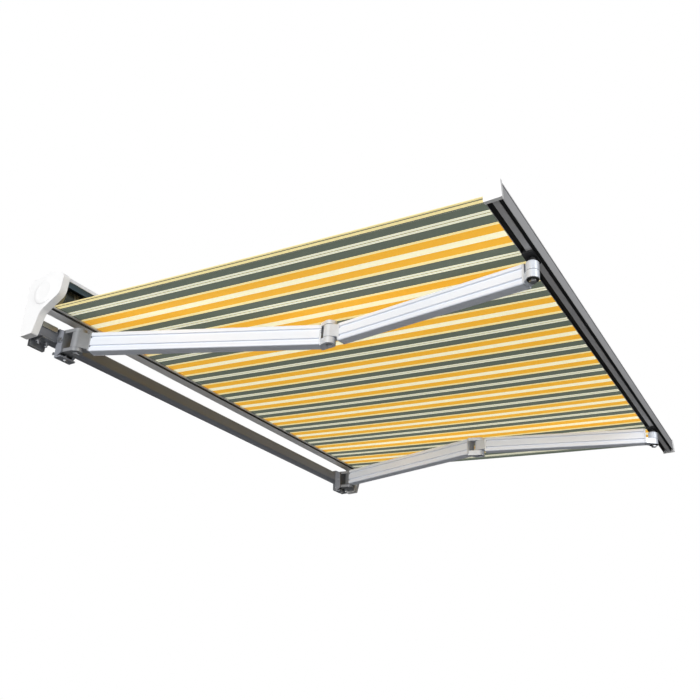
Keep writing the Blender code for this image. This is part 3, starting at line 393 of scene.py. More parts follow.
@dataclass(frozen=True)
class StripedCanvas:
    """Woven awning canvas: bands across X that repeat from the left hem, a plain weave, and a painted glow that
    stands in for light shining through it.
    """

    name: str
    left: float
    right: float
    # Only cloth in front of this y, outside the hood, takes the painted glow.
    lip: float
    # Painted shade: the share by which the base colour turns to the painted shade colour, used on the wound roll.
    shade: float = 0.0
    lead: float = 0.0198
    # Painted light: the strength of the glow that stands in for light shining through the cloth, and the share of
    # it on the upper face.
    glow: float = 0.72
    top_glow: float = 0.35
    thread: float = 0.0009
    hem: float = 0.024
    seam: float = 0.0007
    stitch_length: float = 0.0045
    stitch_share: float = 0.62
    relief: float = 0.00022
    wear: float = 0.90
    # Painted shade: the dark colour that the wound roll is darkened towards.
    gloom: Colour = (0.035, 0.045, 0.05, 1.0)
    yellow: Colour = linear(243, 180, 52)
    green: Colour = linear(93, 102, 90)
    cream: Colour = linear(253, 249, 212)
    pale: Colour = linear(253, 234, 168)
    ivory: Colour = linear(241, 239, 212)
    beige: Colour = linear(146, 143, 112)

    def bands(self) -> list[tuple[float, Colour]]:
        """One repeat of the pattern, as (width in metres, colour)."""
        return [
            (0.0324, self.green),
            (0.0084, self.ivory),
            (0.0030, self.beige),
            (0.0084, self.ivory),
            (0.0333, self.green),
            (0.0090, self.pale),
            (0.0324, self.yellow),
            (0.0243, self.cream),
            (0.0306, self.yellow),
            (0.0128, self.pale),
        ]

    def edge_bands(self) -> list[tuple[float, Colour]]:
        """The narrow lines between the left hem and the first repeat."""
        return [
            (0.0050, self.pale),
            (0.0050, self.beige),
            (0.0098, self.pale),
        ]

    @staticmethod
    def ramp(graph: NodeGraph, place: Signal, bands: list) -> bpy.types.NodeSocket:
        """A stepped ramp of these bands over 0 to 1."""
        total = sum(width for width, _ in bands)
        stops = []
        start = 0.0
        for width, colour in bands:
            stops.append((start / total, colour[:3]))
            start += width
        made = graph.node(
            "ShaderNodeValToRGB", {"stops": stops, "interpolation": "CONSTANT"}, {"Fac": place}
        )
        return made.outputs[0]

    def material(self) -> bpy.types.Material:
        """Builds the finish."""
        graph = NodeGraph(self.name)
        x, y, _ = graph.axes()
        offset = x - self.left
        period = sum(width for width, _ in self.bands())
        stripes = self.ramp(graph, ((offset - self.lead) / period).fract(), self.bands())
        edge = self.ramp(graph, offset / self.lead, self.edge_bands())
        colour = graph.mix(offset < self.lead, stripes, edge)
        slub = graph.noise(260.0, (1.0, 0.03, 0.03), 3.0)
        weft = graph.noise(260.0, (0.03, 1.0, 0.03), 3.0)
        worn = graph.mix((slub + weft) * 0.5, shaded(WHITE, self.wear), WHITE)
        tint = graph.node(
            "ShaderNodeMix", {"data_type": "RGBA", "blend_type": "MULTIPLY"}, {0: 1.0, 6: colour, 7: worn}
        )
        near_left = (offset - self.hem).absolute() < self.seam
        near_right = ((self.right - x) - self.hem).absolute() < self.seam
        dash = (y / self.stitch_length).fract() < self.stitch_share
        stitch = (near_left + near_right) * dash
        sewn = graph.mix(stitch * 0.55, tint.outputs[2], self.ivory)
        turn = 2 * math.pi / self.thread
        warp, pick = (x * turn).sine(), (y * turn).sine()
        # Painted light: in front of the lip the cloth glows in place of daylight shining through it, fully on its
        # underside and partly on its upper face.
        facing = graph.node("ShaderNodeNewGeometry", {}, {}).outputs["Normal"]
        upright = graph.node("ShaderNodeSeparateXYZ", {}, {"Vector": facing}).outputs["Z"]
        under = Signal(graph, upright) < 0.0
        lit = (y < self.lip) * (under * (1.0 - self.top_glow) + self.top_glow)
        # Painted shade: when shade is above 0, the base colour is darkened towards the painted shade colour.
        graph.set(
            Base_Color=graph.mix(self.shade, sewn, self.gloom) if self.shade else sewn,
            Emission_Color=graph.mix(lit, BLACK, sewn),
            Roughness=0.78 + slub * 0.12,
        )
        graph.shader.inputs["Emission Strength"].default_value = self.glow
        graph.shader.inputs["Sheen Weight"].default_value = 0.12
        graph.shader.inputs["Sheen Roughness"].default_value = 0.5
        graph.bump(warp * pick * 0.5 + stitch * 1.4 + slub * 0.5, self.relief, 0.8)
        return graph.material


# Outlines
def arc(centre: Sequence[float], radius: float, start: float, end: float) -> list[Point]:
    """Points along an arc, both ends included."""
    count = max(2, round(abs(end - start) / ARC_STEP) + 1)
    steps = [start + (end - start) * n / (count - 1) for n in range(count)]
    return [(centre[0] + radius * math.cos(t), centre[1] + radius * math.sin(t)) for t in steps]


def circle(radius: float, sides: int = ROUND_SIDES) -> list[Point]:
    """Points round the origin."""
    steps = [2 * math.pi * n / sides for n in range(sides)]
    return [(radius * math.cos(t), radius * math.sin(t)) for t in steps]


def rectangle(a0: float, a1: float, b0: float, b1: float) -> list[Point]:
    """The four corners between two limits along each axis."""
    return [(a0, b0), (a1, b0), (a1, b1), (a0, b1)]


def rounded(corners: Sequence[Corner], closed: bool = True) -> list[Point]:
    """An outline through (a, b, fillet radius) corners.

    Args:
        corners: The corners in order.
        closed: Whether the last one joins the first.

    Returns:
        The outline's points, each fillet as an arc.
    """
    points: list[Point] = []
    count = len(corners)
    for n, (a, b, radius) in enumerate(corners):
        here = Vector((a, b))
        if radius == 0 or (not closed and n in (0, count - 1)):
            points.append((a, b))
            continue
        to_last = (Vector(corners[n - 1][:2]) - here).normalized()
        to_next = (Vector(corners[(n + 1) % count][:2]) - here).normalized()
        half = to_last.angle(to_next) / 2
        centre = here + (to_last + to_next).normalized() * radius / math.sin(half)
        run = radius * math.cos(half) / math.sin(half)
        first = here + to_last * run - centre
        last = here + to_next * run - centre
        start = math.atan2(first.y, first.x)
        turn = (math.atan2(last.y, last.x) - start + math.pi) % (2 * math.pi) - math.pi
        points += arc(centre, radius, start, start + turn)
    return points


def inset_corners(corners: Sequence[Corner], inset: float) -> list[Corner]:
    """The corners of an anticlockwise outline moved inwards, with parallel fillets."""
    moved: list[Corner] = []
    count = len(corners)
    for n, (a, b, radius) in enumerate(corners):
        here = Vector((a, b))
        before = (here - Vector(corners[n - 1][:2])).normalized()
        after = (Vector(corners[(n + 1) % count][:2]) - here).normalized()
        first, second = (Vector((-d.y, d.x)) for d in (before, after))
        shifted = here + (first + second) * inset / (1 + first.dot(second))
        convex = before.x * after.y - before.y * after.x > 0
        fillet = max(radius - inset, 0.001) if convex else radius + inset
        moved.append((shifted.x, shifted.y, fillet))
    return moved


def strip(path: Sequence[Point], thickness: float) -> list[Point]:
    """A skin's section: a path and its copy, offset to the left by the thickness."""
    points = [Vector(p) for p in path]
    offset = []
    for n, here in enumerate(points):
        before = (here - points[n - 1]).normalized() if n else None
        after = (points[n + 1] - here).normalized() if n + 1 < len(points) else None
        before = before or after
        after = after or before
        normals = [Vector((-d.y, d.x)) for d in (before, after)]
        middle = (normals[0] + normals[1]).normalized()
        offset.append(here + middle * thickness / middle.dot(normals[0]))
    return [tuple(p) for p in points + offset[::-1]]


def hull(points: Iterable[Point]) -> list[Point]:
    """The convex outline round a set of points."""
    ordered = sorted({(round(a, 7), round(b, 7)) for a, b in points})
    outline: list[Point] = []
    for run in (ordered, ordered[::-1]):
        side: list[Point] = []
        for p in run:
            while len(side) > 1:
                o, q = side[-2], side[-1]
                if (q[0] - o[0]) * (p[1] - o[1]) - (q[1] - o[1]) * (p[0] - o[0]) > 0:
                    break
                side.pop()
            side.append(p)
        outline += side[:-1]
    return outline


# Frames: columns a, b, w and an origin; an outline is drawn in the a-b plane
def placed(a: Sequence, b: Sequence, w: Sequence, origin: Sequence = (0, 0, 0)) -> Matrix:
    """A frame from its three axes and its origin."""
    made = Matrix.Identity(4)
    for column, axis in enumerate((a, b, w)):
        made.col[column].xyz = Vector(axis)
    made.translation = Vector(origin)
    return made


RIGHTWARDS = ((0, 1, 0), (0, 0, 1), (1, 0, 0))
LEFTWARDS = ((0, 1, 0), (0, 0, -1), (-1, 0, 0))
ALONG_X = placed(*RIGHTWARDS)
FROM_ABOVE = placed((1, 0, 0), (0, 1, 0), (0, 0, 1))


def downwards(origin: Sequence[float]) -> Matrix:
    """A frame that looks down from a point."""
    return placed((1, 0, 0), (0, -1, 0), (0, 0, -1), origin)


def moved(base: Matrix, a: float = 0.0, b: float = 0.0, w: float = 0.0) -> Matrix:
    """The same frame moved along its own axes."""
    return base @ Matrix.Translation((a, b, w))


def flipped(base: Matrix, w: float) -> Matrix:
    """The frame moved along its w axis, then turned to look back along it."""
    return moved(base, w=w) @ Matrix.Rotation(math.pi, 4, "X")


# Meshes
def prism(
    base: Matrix, outline: Sequence[Point], w0: float, w1: float, holes: Sequence[Sequence[Point]] = ()
) -> Solid:
    """A closed solid: an outline less its holes, from w0 to w1 in a frame."""
    bm = bmesh.new()
    for loop in (outline, *holes):
        verts = [bm.verts.new(base @ Vector((a, b, w0))) for a, b in loop]
        for n, vert in enumerate(verts):
            bm.edges.new((vert, verts[(n + 1) % len(verts)]))
    bmesh.ops.triangle_fill(bm, use_beauty=True, edges=bm.edges[:])
    grown = bmesh.ops.extrude_face_region(bm, geom=bm.faces[:])["geom"]
    shift = base.to_3x3() @ Vector((0, 0, w1 - w0))
    bmesh.ops.translate(bm, vec=shift, verts=[v for v in grown if isinstance(v, bmesh.types.BMVert)])
    bmesh.ops.recalc_face_normals(bm, faces=bm.faces)
    return bm


def turned(base: Matrix, profile: Sequence[Point], sides: int = ROUND_SIDES) -> Solid:
    """A closed solid turned about a frame's w axis from (radius, w) points."""
    bm = bmesh.new()
    rings = []
    for radius, w in profile:
        rings.append([bm.verts.new(base @ Vector((a, b, w))) for a, b in circle(radius, sides)])
    for lower, upper in zip(rings, rings[1:]):
        for n in range(sides):
            m = (n + 1) % sides
            bm.faces.new((lower[n], lower[m], upper[m], upper[n]))
    bm.faces.new(rings[0])
    bm.faces.new(rings[-1])
    bmesh.ops.recalc_face_normals(bm, faces=bm.faces)
    return bm


def rod(base: Matrix, radius: float, w0: float, w1: float, sides: int = ROUND_SIDES) -> Solid:
    """A round rod, or the cutter of a bore, from w0 to w1 in a frame."""
    return turned(base, [(radius, w0), (radius, w1)], sides)


def bolt_head(base: Matrix, radius: float, height: float) -> Solid:
    """A hexagon head with its chamfered crown, from w = 0 to its height."""
    bm = prism(base, circle(radius, HEXAGON), 0.0, height)
    outside = radius * 1.05
    crown = turned(base, [(outside, -0.001), (outside, height * 0.72), (radius * 0.84, height + 1e-5)])
    return combine(bm, crown, "INTERSECT")


def link(name: str, bm: Solid) -> bpy.types.Object:
    """An object in the scene from a bmesh, which is freed."""
    mesh = bpy.data.meshes.new(name)
    bm.to_mesh(mesh)
    bm.free()
    made = bpy.data.objects.new(name, mesh)
    bpy.context.scene.collection.objects.link(made)
    return made


def settle(obj: bpy.types.Object) -> None:
    """Applies an object's modifiers to its mesh."""
    graph = bpy.context.evaluated_depsgraph_get()
    mesh = bpy.data.meshes.new_from_object(obj.evaluated_get(graph), depsgraph=graph)
    obj.modifiers.clear()
    obj.data = mesh


def discard(obj: bpy.types.Object) -> None:
    """Removes a helper object and its mesh."""
    mesh = obj.data
    bpy.data.objects.remove(obj)
    bpy.data.meshes.remove(mesh)


def combine(body: Solid, tool: Solid, operation: str) -> Solid:
    """One Boolean of two solids.

    Args:
        body: The first solid, which is freed.
        tool: The second solid, which is freed.
        operation: UNION, DIFFERENCE or INTERSECT.

    Returns:
        The result.
    """
    first, second = link("body", body), link("tool", tool)
    boolean = first.modifiers.new("boolean", "BOOLEAN")
    boolean.operation = operation
    boolean.solver = "EXACT"
    boolean.object = second
    settle(first)
    made = bmesh.new()
    made.from_mesh(first.data)
    discard(first)
    discard(second)
    bmesh.ops.remove_doubles(made, verts=made.verts, dist=1e-6)
    bmesh.ops.dissolve_limit(
        made, angle_limit=math.radians(0.3), verts=made.verts, edges=made.edges, delimit={"NORMAL"}
    )
    return made


def joined(body: Solid, *parts: Solid) -> Solid:
    """Solids united into one."""
    for part in parts:
        body = combine(body, part, "UNION")
    return body


def cut(body: Solid, *tools: Solid) -> Solid:
    """A solid with others cut out of it."""
    for tool in tools:
        body = combine(body, tool, "DIFFERENCE")
    return body


@dataclass
class Workshop:
    """Turns solids into finished pieces that ride on the frame's bodies."""

    finishes: dict[Slot | Tone, bpy.types.Material]
    count: int = 0

    def piece(
        self,
        name: str,
        bm: Solid,
        body: str,
        slot: Slot,
        node: str | None = None,
        side: Side = Side.LEFT,
        edge: float = EDGE,
        tone: Tone | None = None,
    ) -> bpy.types.Object:
        """Makes one piece.

        Args:
            name: The piece's name.
            bm: Its solid, drawn on the left side.
            body: The body that it rides on.
            slot: Its material slot.
            node: The node that it replaces, if any.
            side: The side that it stands on.
            edge: The width of its rounded edges, or 0.
            tone: The darker copy of the slot's finish that paints shade on the piece, if any.

        Returns:
            The object.
        """
        if side is Side.RIGHT:
            bmesh.ops.scale(bm, vec=(-1, 1, 1), verts=bm.verts)
            bmesh.ops.reverse_faces(bm, faces=bm.faces)
        obj = link(name, bm)
        if edge:
            bevel = obj.modifiers.new("edges", "BEVEL")
            bevel.width = edge
            bevel.segments = 2
            bevel.limit_method = "ANGLE"
            bevel.angle_limit = math.radians(32)
            bevel.use_clamp_overlap = True
        obj.data.shade_smooth()
        weighted = obj.modifiers.new("normals", "WEIGHTED_NORMAL")
        weighted.keep_sharp = True
        settle(obj)
        obj.data.set_sharp_from_angle(angle=math.radians(38))
        self.dress(obj, tone or slot)
        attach(obj, body)
        if node:
            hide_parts(node)
        self.count += 1
        LOG.info("%s on %s, %d faces", name, body, len(obj.data.polygons))
        return obj

    def dress(self, obj: bpy.types.Object, finish: Slot | Tone) -> None:
        """Gives an object the finish of a slot or a tone."""
        obj.data.materials.clear()
        obj.data.materials.append(self.finishes[finish])


@dataclass
class Geometry:
    """Places read from the frame: joint axes, the bar, the cloth's width and the roller."""

    joints: dict = field(default_factory=lambda: {j["name"]: j for j in frame["joints"]})

    def __post_init__(self) -> None:
        """Reads the frame once."""
        shoulder = self.joints["left_shoulder"]
        self.up = Vector(shoulder["axis"]).normalized()
        self.pitch = math.atan2(-self.up.y, self.up.z)
        self.plane = Matrix.Rotation(self.pitch, 4, "X")
        self.shoulder = self._pivot("left_shoulder")
        self.elbow = self._pivot("left_elbow")
        self.front = self._pivot("left_front_pivot")
        bar_low, bar_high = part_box("torsion_bar")
        self.bar_size = bar_high.z - bar_low.z
        self.bar_y = (bar_low.y + bar_high.y) / 2
        self.head_left, self.head_right = bar_low.x - SEAT_GAP, bar_high.x + SEAT_GAP
        cloth_low, cloth_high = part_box("canopy_cloth")
        self.cloth_left, self.cloth_right = cloth_low.x, cloth_high.x
        roll_low, roll_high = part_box("fabric_roll")
        middle = (roll_low + roll_high) / 2
        self.roller = placed(*RIGHTWARDS, (0, middle.y, middle.z))
        self.roll_radius = (roll_high.z - roll_low.z) / 2
        self.lip = middle.y - self.roll_radius * 0.55
        front_low, front_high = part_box("front_profile")
        self.front_inner, self.front_outer = front_high.y, front_low.y
        self.front_bottom, self.front_top = front_low.z, front_high.z
        self.front_left, self.front_right = front_low.x, front_high.x

    def _pivot(self, joint: str) -> Matrix:
        """A frame on a joint of the left arm, its w along the arm plane's normal."""
        return Matrix.Translation(self.joints[joint]["pos_m"]) @ self.plane

    def member(self, start: Matrix, end: Matrix) -> Matrix:
        """A frame at start with a towards end and b to the outer side of the fold."""
        along = (end.translation - start.translation).normalized()
        return placed(along, self.up.cross(along), self.up, start.translation)


def section_of(member: Matrix) -> Matrix:
    """The frame that a member's section is drawn in, extruded along the member."""
    columns = [member.to_3x3().col[n] for n in (1, 2, 0)]
    return placed(*columns, member.translation)


@dataclass
class HeadCasing:
    """End caps with their bearing covers, the hood over the roll and the tray under it."""

    geometry: Geometry
    shop: Workshop
    cap_thickness: float = 0.025
    cap_flange: float = 0.006
    cap_rim: float = 0.007
    bearing_depth: float = 0.012
    idler_bore: float = 0.008
    motor_bore: float = 0.024
    seat_floor: float = 0.003
    back: float = -0.004
    bottom: float = -0.030
    top: float = 0.174
    front: float = -0.159
    cover_radius: float = 0.043
    cover_height: float = 0.0045
    cover_foot: float = 0.0008
    cover_draft: float = 0.0006
    cover_roll: float = 0.012
    cover_turn: float = math.radians(88)
    cover_steps: int = 14
    cover_sides: int = 96
    dish_inset: float = 0.014
    dish_slope: float = 0.006
    dish_depth: float = 0.0006
    hood_wall: float = 0.0025
    # Thickness of the dark sheet inside the hood that paints its shade.
    lining: float = 0.0008
    hood_inset: float = 0.003
    hood_lip: float = 0.133
    hood_back: float = 0.098
    tray_wall: float = 0.0018
    tray_back: float = -0.064
    tray_bottom: float = 0.045

    def corners(self) -> list[Corner]:
        """The end cap's outline, up the back, over the top and down the front."""
        return [
            (self.back, self.bottom, 0.004),
            (self.back, self.top - 0.014, 0.020),
            (self.front * 0.62, self.top, 0.055),
            (self.front, self.top - 0.024, 0.024),
            (self.front + 0.007, 0.084, 0.030),
            (-0.076, 0.040, 0.040),
            (-0.055, self.bottom, 0.005),
        ]

    def end_cap(self, side: Side) -> None:
        """Builds one cap with its pocket, boss and bar seat, and the cover on its face."""
        g = self.geometry
        inner = g.head_left if side is Side.LEFT else -g.head_right
        outer = inner - self.cap_thickness
        solid = prism(ALONG_X, rounded(self.corners()), outer, inner)
        inside = rounded(inset_corners(self.corners(), self.cap_rim))
        pocket = prism(ALONG_X, inside, outer + self.cap_flange, inner + OVERCUT)
        boss = rod(moved(g.roller, w=outer), self.cover_radius, self.seat_floor, self.cap_thickness)
        half = g.bar_size / 2
        seat = prism(
            ALONG_X,
            rectangle(g.bar_y - half, g.bar_y + half, -half, half),
            outer + self.seat_floor,
            inner,
        )
        radius = (self.idler_bore if side is Side.LEFT else self.motor_bore) + SEAT_GAP
        bearing = rod(moved(g.roller, w=inner), radius, -self.bearing_depth, OVERCUT)
        solid = cut(joined(cut(solid, pocket), boss, seat), bearing)
        name = f"end_cap_{side.word}"
        self.shop.piece(name, solid, "root", Slot.WHITE_PLASTIC, name, side, edge=0.0018)
        face = placed(*LEFTWARDS, (outer - SEAT_GAP, *g.roller.translation.yz))
        name = f"bearing_cover_{side.word}"
        cover = turned(face, self.dome(), self.cover_sides)
        self.shop.piece(name, cover, "root", Slot.WHITE_PLASTIC, name, side, edge=0)

    def dome(self) -> list[Point]:
        """The bearing cover's profile: a rolled edge and a shallow dish."""
        radius, height, foot = self.cover_radius, self.cover_height, self.cover_foot
        points = [(radius, 0.0)]
        for n in range(self.cover_steps + 1):
            turn = self.cover_turn * n / self.cover_steps
            points.append(
                (
                    radius - self.cover_draft - self.cover_roll * (1 - math.cos(turn)),
                    foot + (height - foot) * math.sin(turn),
                )
            )
        dish = radius - self.dish_inset
        points += [(dish, height), (dish - self.dish_slope, height - self.dish_depth), (0.001, height)]
        return points

    def skin(self, inset: float, thickness: float) -> Solid:
        """A sheet that follows the hood's outline, this far inside the end cap's one."""
        g = self.geometry
        back, peak, brow = self.corners()[1:4]
        path = rounded(
            [
                (brow[0] + inset, self.hood_lip, 0),
                (brow[0] + inset, brow[1] - inset, brow[2] - inset),
                (peak[0], peak[1] - inset, peak[2] - inset),
                (back[0] - inset, back[1] - inset, back[2] - inset),
                (back[0] - inset, self.hood_back, 0),
            ],
            closed=False,
        )
        section = strip(path[::-1], thickness)
        return prism(ALONG_X, section, g.head_left + SEAT_GAP, g.head_right - SEAT_GAP)

    def hood(self) -> None:
        """Builds the hood's skin and a dark sheet inside it that paints the shade under the hood."""
        skin = self.skin(self.hood_inset, self.hood_wall)
        self.shop.piece(
            "cassette_hood_skin", skin, "root", Slot.PROFILE_COAT, "cassette_hood", edge=0.0005
        )
        lining = self.skin(self.hood_inset + self.hood_wall + SEAT_GAP, self.lining)
        self.shop.piece("hood_lining", lining, "root", Slot.PROFILE_COAT, edge=0, tone=Tone.LINING)

    def tray(self, lip: Vector) -> None:
        """Builds the tray from the lip that the cloth runs over."""
        g = self.geometry
        groove = lip.x + 0.007
        path = rounded(
            [
                (lip.x + 0.006, lip.y - 0.0006, 0),
                (lip.x, lip.y - 0.001, 0),
                (lip.x, lip.y - 0.005, 0),
                (groove, lip.y - 0.0065, 0),
                (groove, lip.y - 0.0125, 0),
                (self.tray_back - 0.019, self.tray_bottom + 0.0025, 0.008),
                (self.tray_back - 0.006, self.tray_bottom, 0.003),
                (self.tray_back, self.tray_bottom + 0.007, 0.003),
                (self.tray_back, self.tray_bottom + 0.015, 0),
            ],
            closed=False,
        )
        left, right = g.head_left + SEAT_GAP, g.head_right - SEAT_GAP
        solid = prism(ALONG_X, strip(path, self.tray_wall), left, right)
        self.shop.piece("lower_tray_skin", solid, "root", Slot.PROFILE_COAT, "lower_tray", edge=0.0004)
        seal = rectangle(lip.x + 0.0024, groove - SEAT_GAP, lip.y - 0.0118, lip.y - 0.0078)
        self.shop.piece("tray_seal", prism(ALONG_X, seal, left, right), "root", Slot.DARK_PLASTIC, edge=0)

    def build(self, lip: Vector) -> None:
        """Builds the whole casing."""
        for side in Side:
            self.end_cap(side)
        self.hood()
        self.tray(lip)


@dataclass
class TorsionBar:
    """The square tube with its rolled corners."""

    geometry: Geometry
    shop: Workshop
    wall: float = 0.003
    corner: float = 0.004

    def build(self) -> None:
        """Builds the tube."""
        g = self.geometry
        half, bore = g.bar_size / 2, g.bar_size / 2 - self.wall
        square = ((-1, -1), (1, -1), (1, 1), (-1, 1))
        outline = rounded([(g.bar_y + a * half, b * half, self.corner) for a, b in square])
        hole = [(g.bar_y + a * bore, b * bore) for a, b in square]
        left, right = g.head_left + SEAT_GAP, g.head_right - SEAT_GAP
        solid = prism(ALONG_X, outline, left, right, [hole])
        self.shop.piece("torsion_bar_tube", solid, "root", Slot.BAR_COAT, "torsion_bar", edge=0)


@dataclass
class Cloth:
    """The cloth: the wound roll, the leaf to the tray and the stretched cover."""

    geometry: Geometry
    shop: Workshop
    thickness: float = 0.0006
    pitch: float = math.radians(5.1)
    lip_reach: float = 0.026
    hem: float = 0.024
    hem_rise: float = 0.0005
    keder_radius: float = 0.0026
    sag: float = 0.0035
    ripple: float = 0.0009
    ripple_length: float = 0.31
    roll_sides: int = 120
    bead_sides: int = 24
    columns: int = 150
    rows: int = 60

    def point(self, reach: float, drop: float = 0.0) -> Vector:
        """A point (y, z) on the cloth's upper face, this far from where it leaves the roll."""
        along = Vector((-math.cos(self.pitch), -math.sin(self.pitch)))
        up = Vector((-math.sin(self.pitch), math.cos(self.pitch)))
        centre = Vector(self.geometry.roller.translation.yz)
        return centre - up * (self.geometry.roll_radius + SEAT_GAP) + along * reach - up * drop

    @property
    def front_reach(self) -> float:
        """How far the keder bead's centre lies from the roll."""
        bead = self.geometry.front_inner - self.keder_radius - 0.002
        return (self.point(0).x - bead) / math.cos(self.pitch)

    def wound(self) -> None:
        """The turns of cloth on the tube."""
        g = self.geometry
        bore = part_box("roller_tube")[1].z - g.roller.translation.z + SEAT_GAP
        solid = prism(
            g.roller,
            circle(g.roll_radius, self.roll_sides),
            g.cloth_left,
            g.cloth_right,
            [circle(bore)],
        )
        # Painted shade: the roll takes the darkened copy of the cloth finish.
        self.shop.piece(
            "wound_cloth",
            solid,
            "roller",
            Slot.STRIPED_CLOTH,
            "fabric_roll",
            edge=0,
            tone=Tone.WOUND_CLOTH,
        )

    def leaf(self) -> None:
        """The short run of cloth from the roll to the tray's lip."""
        ends = [self.point(0.0), self.point(self.lip_reach)]
        under = [self.point(self.lip_reach, self.thickness), self.point(0.0, self.thickness)]
        g = self.geometry
        outline = [tuple(p) for p in ends + under]
        solid = prism(ALONG_X, outline, g.cloth_left, g.cloth_right)
        self.shop.piece("cloth_leaf", solid, "root", Slot.STRIPED_CLOTH, edge=0)

    def cover(self) -> None:
        """The stretched cover, a grid with hems, a slight sag and shallow ripples."""
        g = self.geometry
        width = g.cloth_right - g.cloth_left
        start, end = self.lip_reach, self.front_reach
        stations = self.stations(width)
        bm = bmesh.new()
        faces = []
        for level in (0, 1):
            grid = []
            for n in range(self.rows + 1):
                share = n / self.rows
                row = []
                for x in stations:
                    from_edge = min(x, width - x)
                    thick = self.thickness + (self.hem_rise if from_edge < self.hem else 0.0)
                    drop = thick * level + self.hang(x, share, width)
                    place = self.point(start + (end - start) * share, drop)
                    row.append(bm.verts.new((g.cloth_left + x, place.x, place.y)))
                grid.append(row)
            faces.append(grid)
        top, under = faces
        across, along = len(stations), self.rows + 1
        for n in range(along - 1):
            for m in range(across - 1):
                bm.faces.new((top[n][m], top[n + 1][m], top[n + 1][m + 1], top[n][m + 1]))
                bm.faces.new((under[n][m], under[n][m + 1], under[n + 1][m + 1], under[n + 1][m]))
        for n in range(along - 1):
            bm.faces.new((top[n][0], under[n][0], under[n + 1][0], top[n + 1][0]))
            bm.faces.new((top[n][-1], top[n + 1][-1], under[n + 1][-1], under[n][-1]))
        for m in range(across - 1):
            bm.faces.new((top[0][m], top[0][m + 1], under[0][m + 1], under[0][m]))
            bm.faces.new((top[-1][m], under[-1][m], under[-1][m + 1], top[-1][m + 1]))
        bmesh.ops.recalc_face_normals(bm, faces=bm.faces)
        cover = self.shop.piece(
            "canopy", bm, "root", Slot.STRIPED_CLOTH, "canopy_cloth", edge=0
        )
        end - start
        self.fold_away(cover)

    def fold_away(self, cover: bpy.types.Object) -> None:
        """Gives the cover its own copy of its mesh; the anchor and hem points are worked out but not used."""
        anchor = self.point(self.lip_reach)
        hem = self.point(self.front_reach)
        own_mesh(cover)

    def stations(self, width: float) -> list[float]:
        """Distances across the cloth, with a step at each hem."""
        step, just = 0.0004, 1e-5
        hem = self.hem
        inner = [
            hem + step + (width - 2 * hem - 2 * step) * n / self.columns for n in range(self.columns + 1)
        ]
        return [0.0, hem / 2, hem - just, *inner, width - hem + just, width - hem / 2, width]

    def hang(self, x: float, share: float, width: float) -> float:
        """How far the cover hangs below its straight line: a sag with shallow ripples."""
        belly = 4 * share * (1 - share)
        ripple = self.ripple * math.sin(x * 2 * math.pi / self.ripple_length + 0.7) * belly
        middle = 0.8 + 0.2 * math.sin(math.pi * x / width)
        return self.sag * belly * middle + ripple

    def bead(self) -> None:
        """The keder bead welded in the front hem."""
        g = self.geometry
        centre = self.point(self.front_reach, self.thickness / 2)
        base = placed(*RIGHTWARDS, (0, *centre))
        solid = rod(base, self.keder_radius, g.cloth_left, g.cloth_right, self.bead_sides)
        self.shop.piece("keder_bead", solid, "front_bar", Slot.STRIPED_CLOTH, edge=0)

    def build(self) -> None:
        """Builds every part of the cloth."""
        self.wound()
        self.leaf()
        self.cover()
        self.bead()


@dataclass
class WallBracket:
    """The bracket that hooks over the bar, its clamp plate and two bolts."""

    geometry: Geometry
    shop: Workshop
    arm: float = 0.008
    plate: float = 0.005
    clamp: float = 0.005
    bolt_radius: float = 0.004
    head_radius: float = 0.0075
    bolt_drop: float = 0.014
    hole_radius: float = 0.0045
    hole_inset: float = 0.012
    hole_drop: float = 0.011

    def build(self, side: Side) -> None:
        """Builds one bracket."""
        g = self.geometry
        low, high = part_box("wall_bracket_left")
        x0, x1 = low.x, high.x
        half = g.bar_size / 2
        over = half + SEAT_GAP
        back = g.bar_y + half + SEAT_GAP
        front = g.bar_y - half - SEAT_GAP
        hook = front - self.arm * 0.6
        outline = rounded(
            [
                (0.0, low.z, 0.001),
                (0.0, high.z, 0.0015),
                (-self.plate, high.z, 0.0015),
                (back - 0.008, over + self.arm, 0.006),
                (hook, over + self.arm, 0.003),
                (hook, half * 0.45, 0.001),
                (front, half * 0.45, 0.0003),
                (front, over, 0),
                (back, over, 0),
                (back, -over, 0),
                (back, low.z, 0.002),
            ]
        )
        holes = [
            rod(
                placed((1, 0, 0), (0, 0, 1), (0, -1, 0), (x, 0, high.z - self.hole_drop)),
                self.hole_radius,
                -OVERCUT,
                4 * OVERCUT,
                SCREW_SIDES,
            )
            for x in (x0 + self.hole_inset, x1 - self.hole_inset)
        ]
        name = f"wall_bracket_{side.word}"
        solid = cut(prism(ALONG_X, outline, x0, x1), *holes)
        self.shop.piece(name, solid, "root", Slot.ZINC_STEEL, name, side)
        top, bottom = -over, -over - self.clamp
        plate = rounded(
            [
                (back - SEAT_GAP, top, 0.0005),
                (hook, top, 0.0005),
                (hook - 0.002, bottom, 0.001),
                (back - SEAT_GAP, bottom, 0.001),
            ]
        )
        name = f"bar_clamp_{side.word}"
        solid = prism(ALONG_X, plate, x0 + 0.006, x1 - 0.006)
        self.shop.piece(name, solid, "root", Slot.ZINC_STEEL, name, side)
        middle = (x0 + x1) / 2
        for n, x in enumerate((middle - 0.015, middle + 0.015)):
            base = downwards((x, g.bar_y, bottom - SEAT_GAP))
            washer = rod(base, self.head_radius * 1.15, 0.0, 0.0012, 40)
            head = bolt_head(moved(base, w=0.001), self.head_radius, 0.0052)
            rings = [(self.bolt_radius, 0.005)]
            turns = 6
            pitch = (self.bolt_drop - 0.0075) / turns
            for m in range(turns):
                z = 0.007 + m * pitch
                rings += [(self.bolt_radius, z), (self.bolt_radius * 0.86, z + pitch / 2)]
            rings.append((self.bolt_radius * 0.8, self.bolt_drop))
            tail = turned(base, rings, 24)
            name = f"clamp_bolt_{side.word}_{n + 1}"
            solid = joined(head, washer, tail)
            self.shop.piece(name, solid, "root", Slot.ZINC_STEEL, name, side, edge=0.0003)


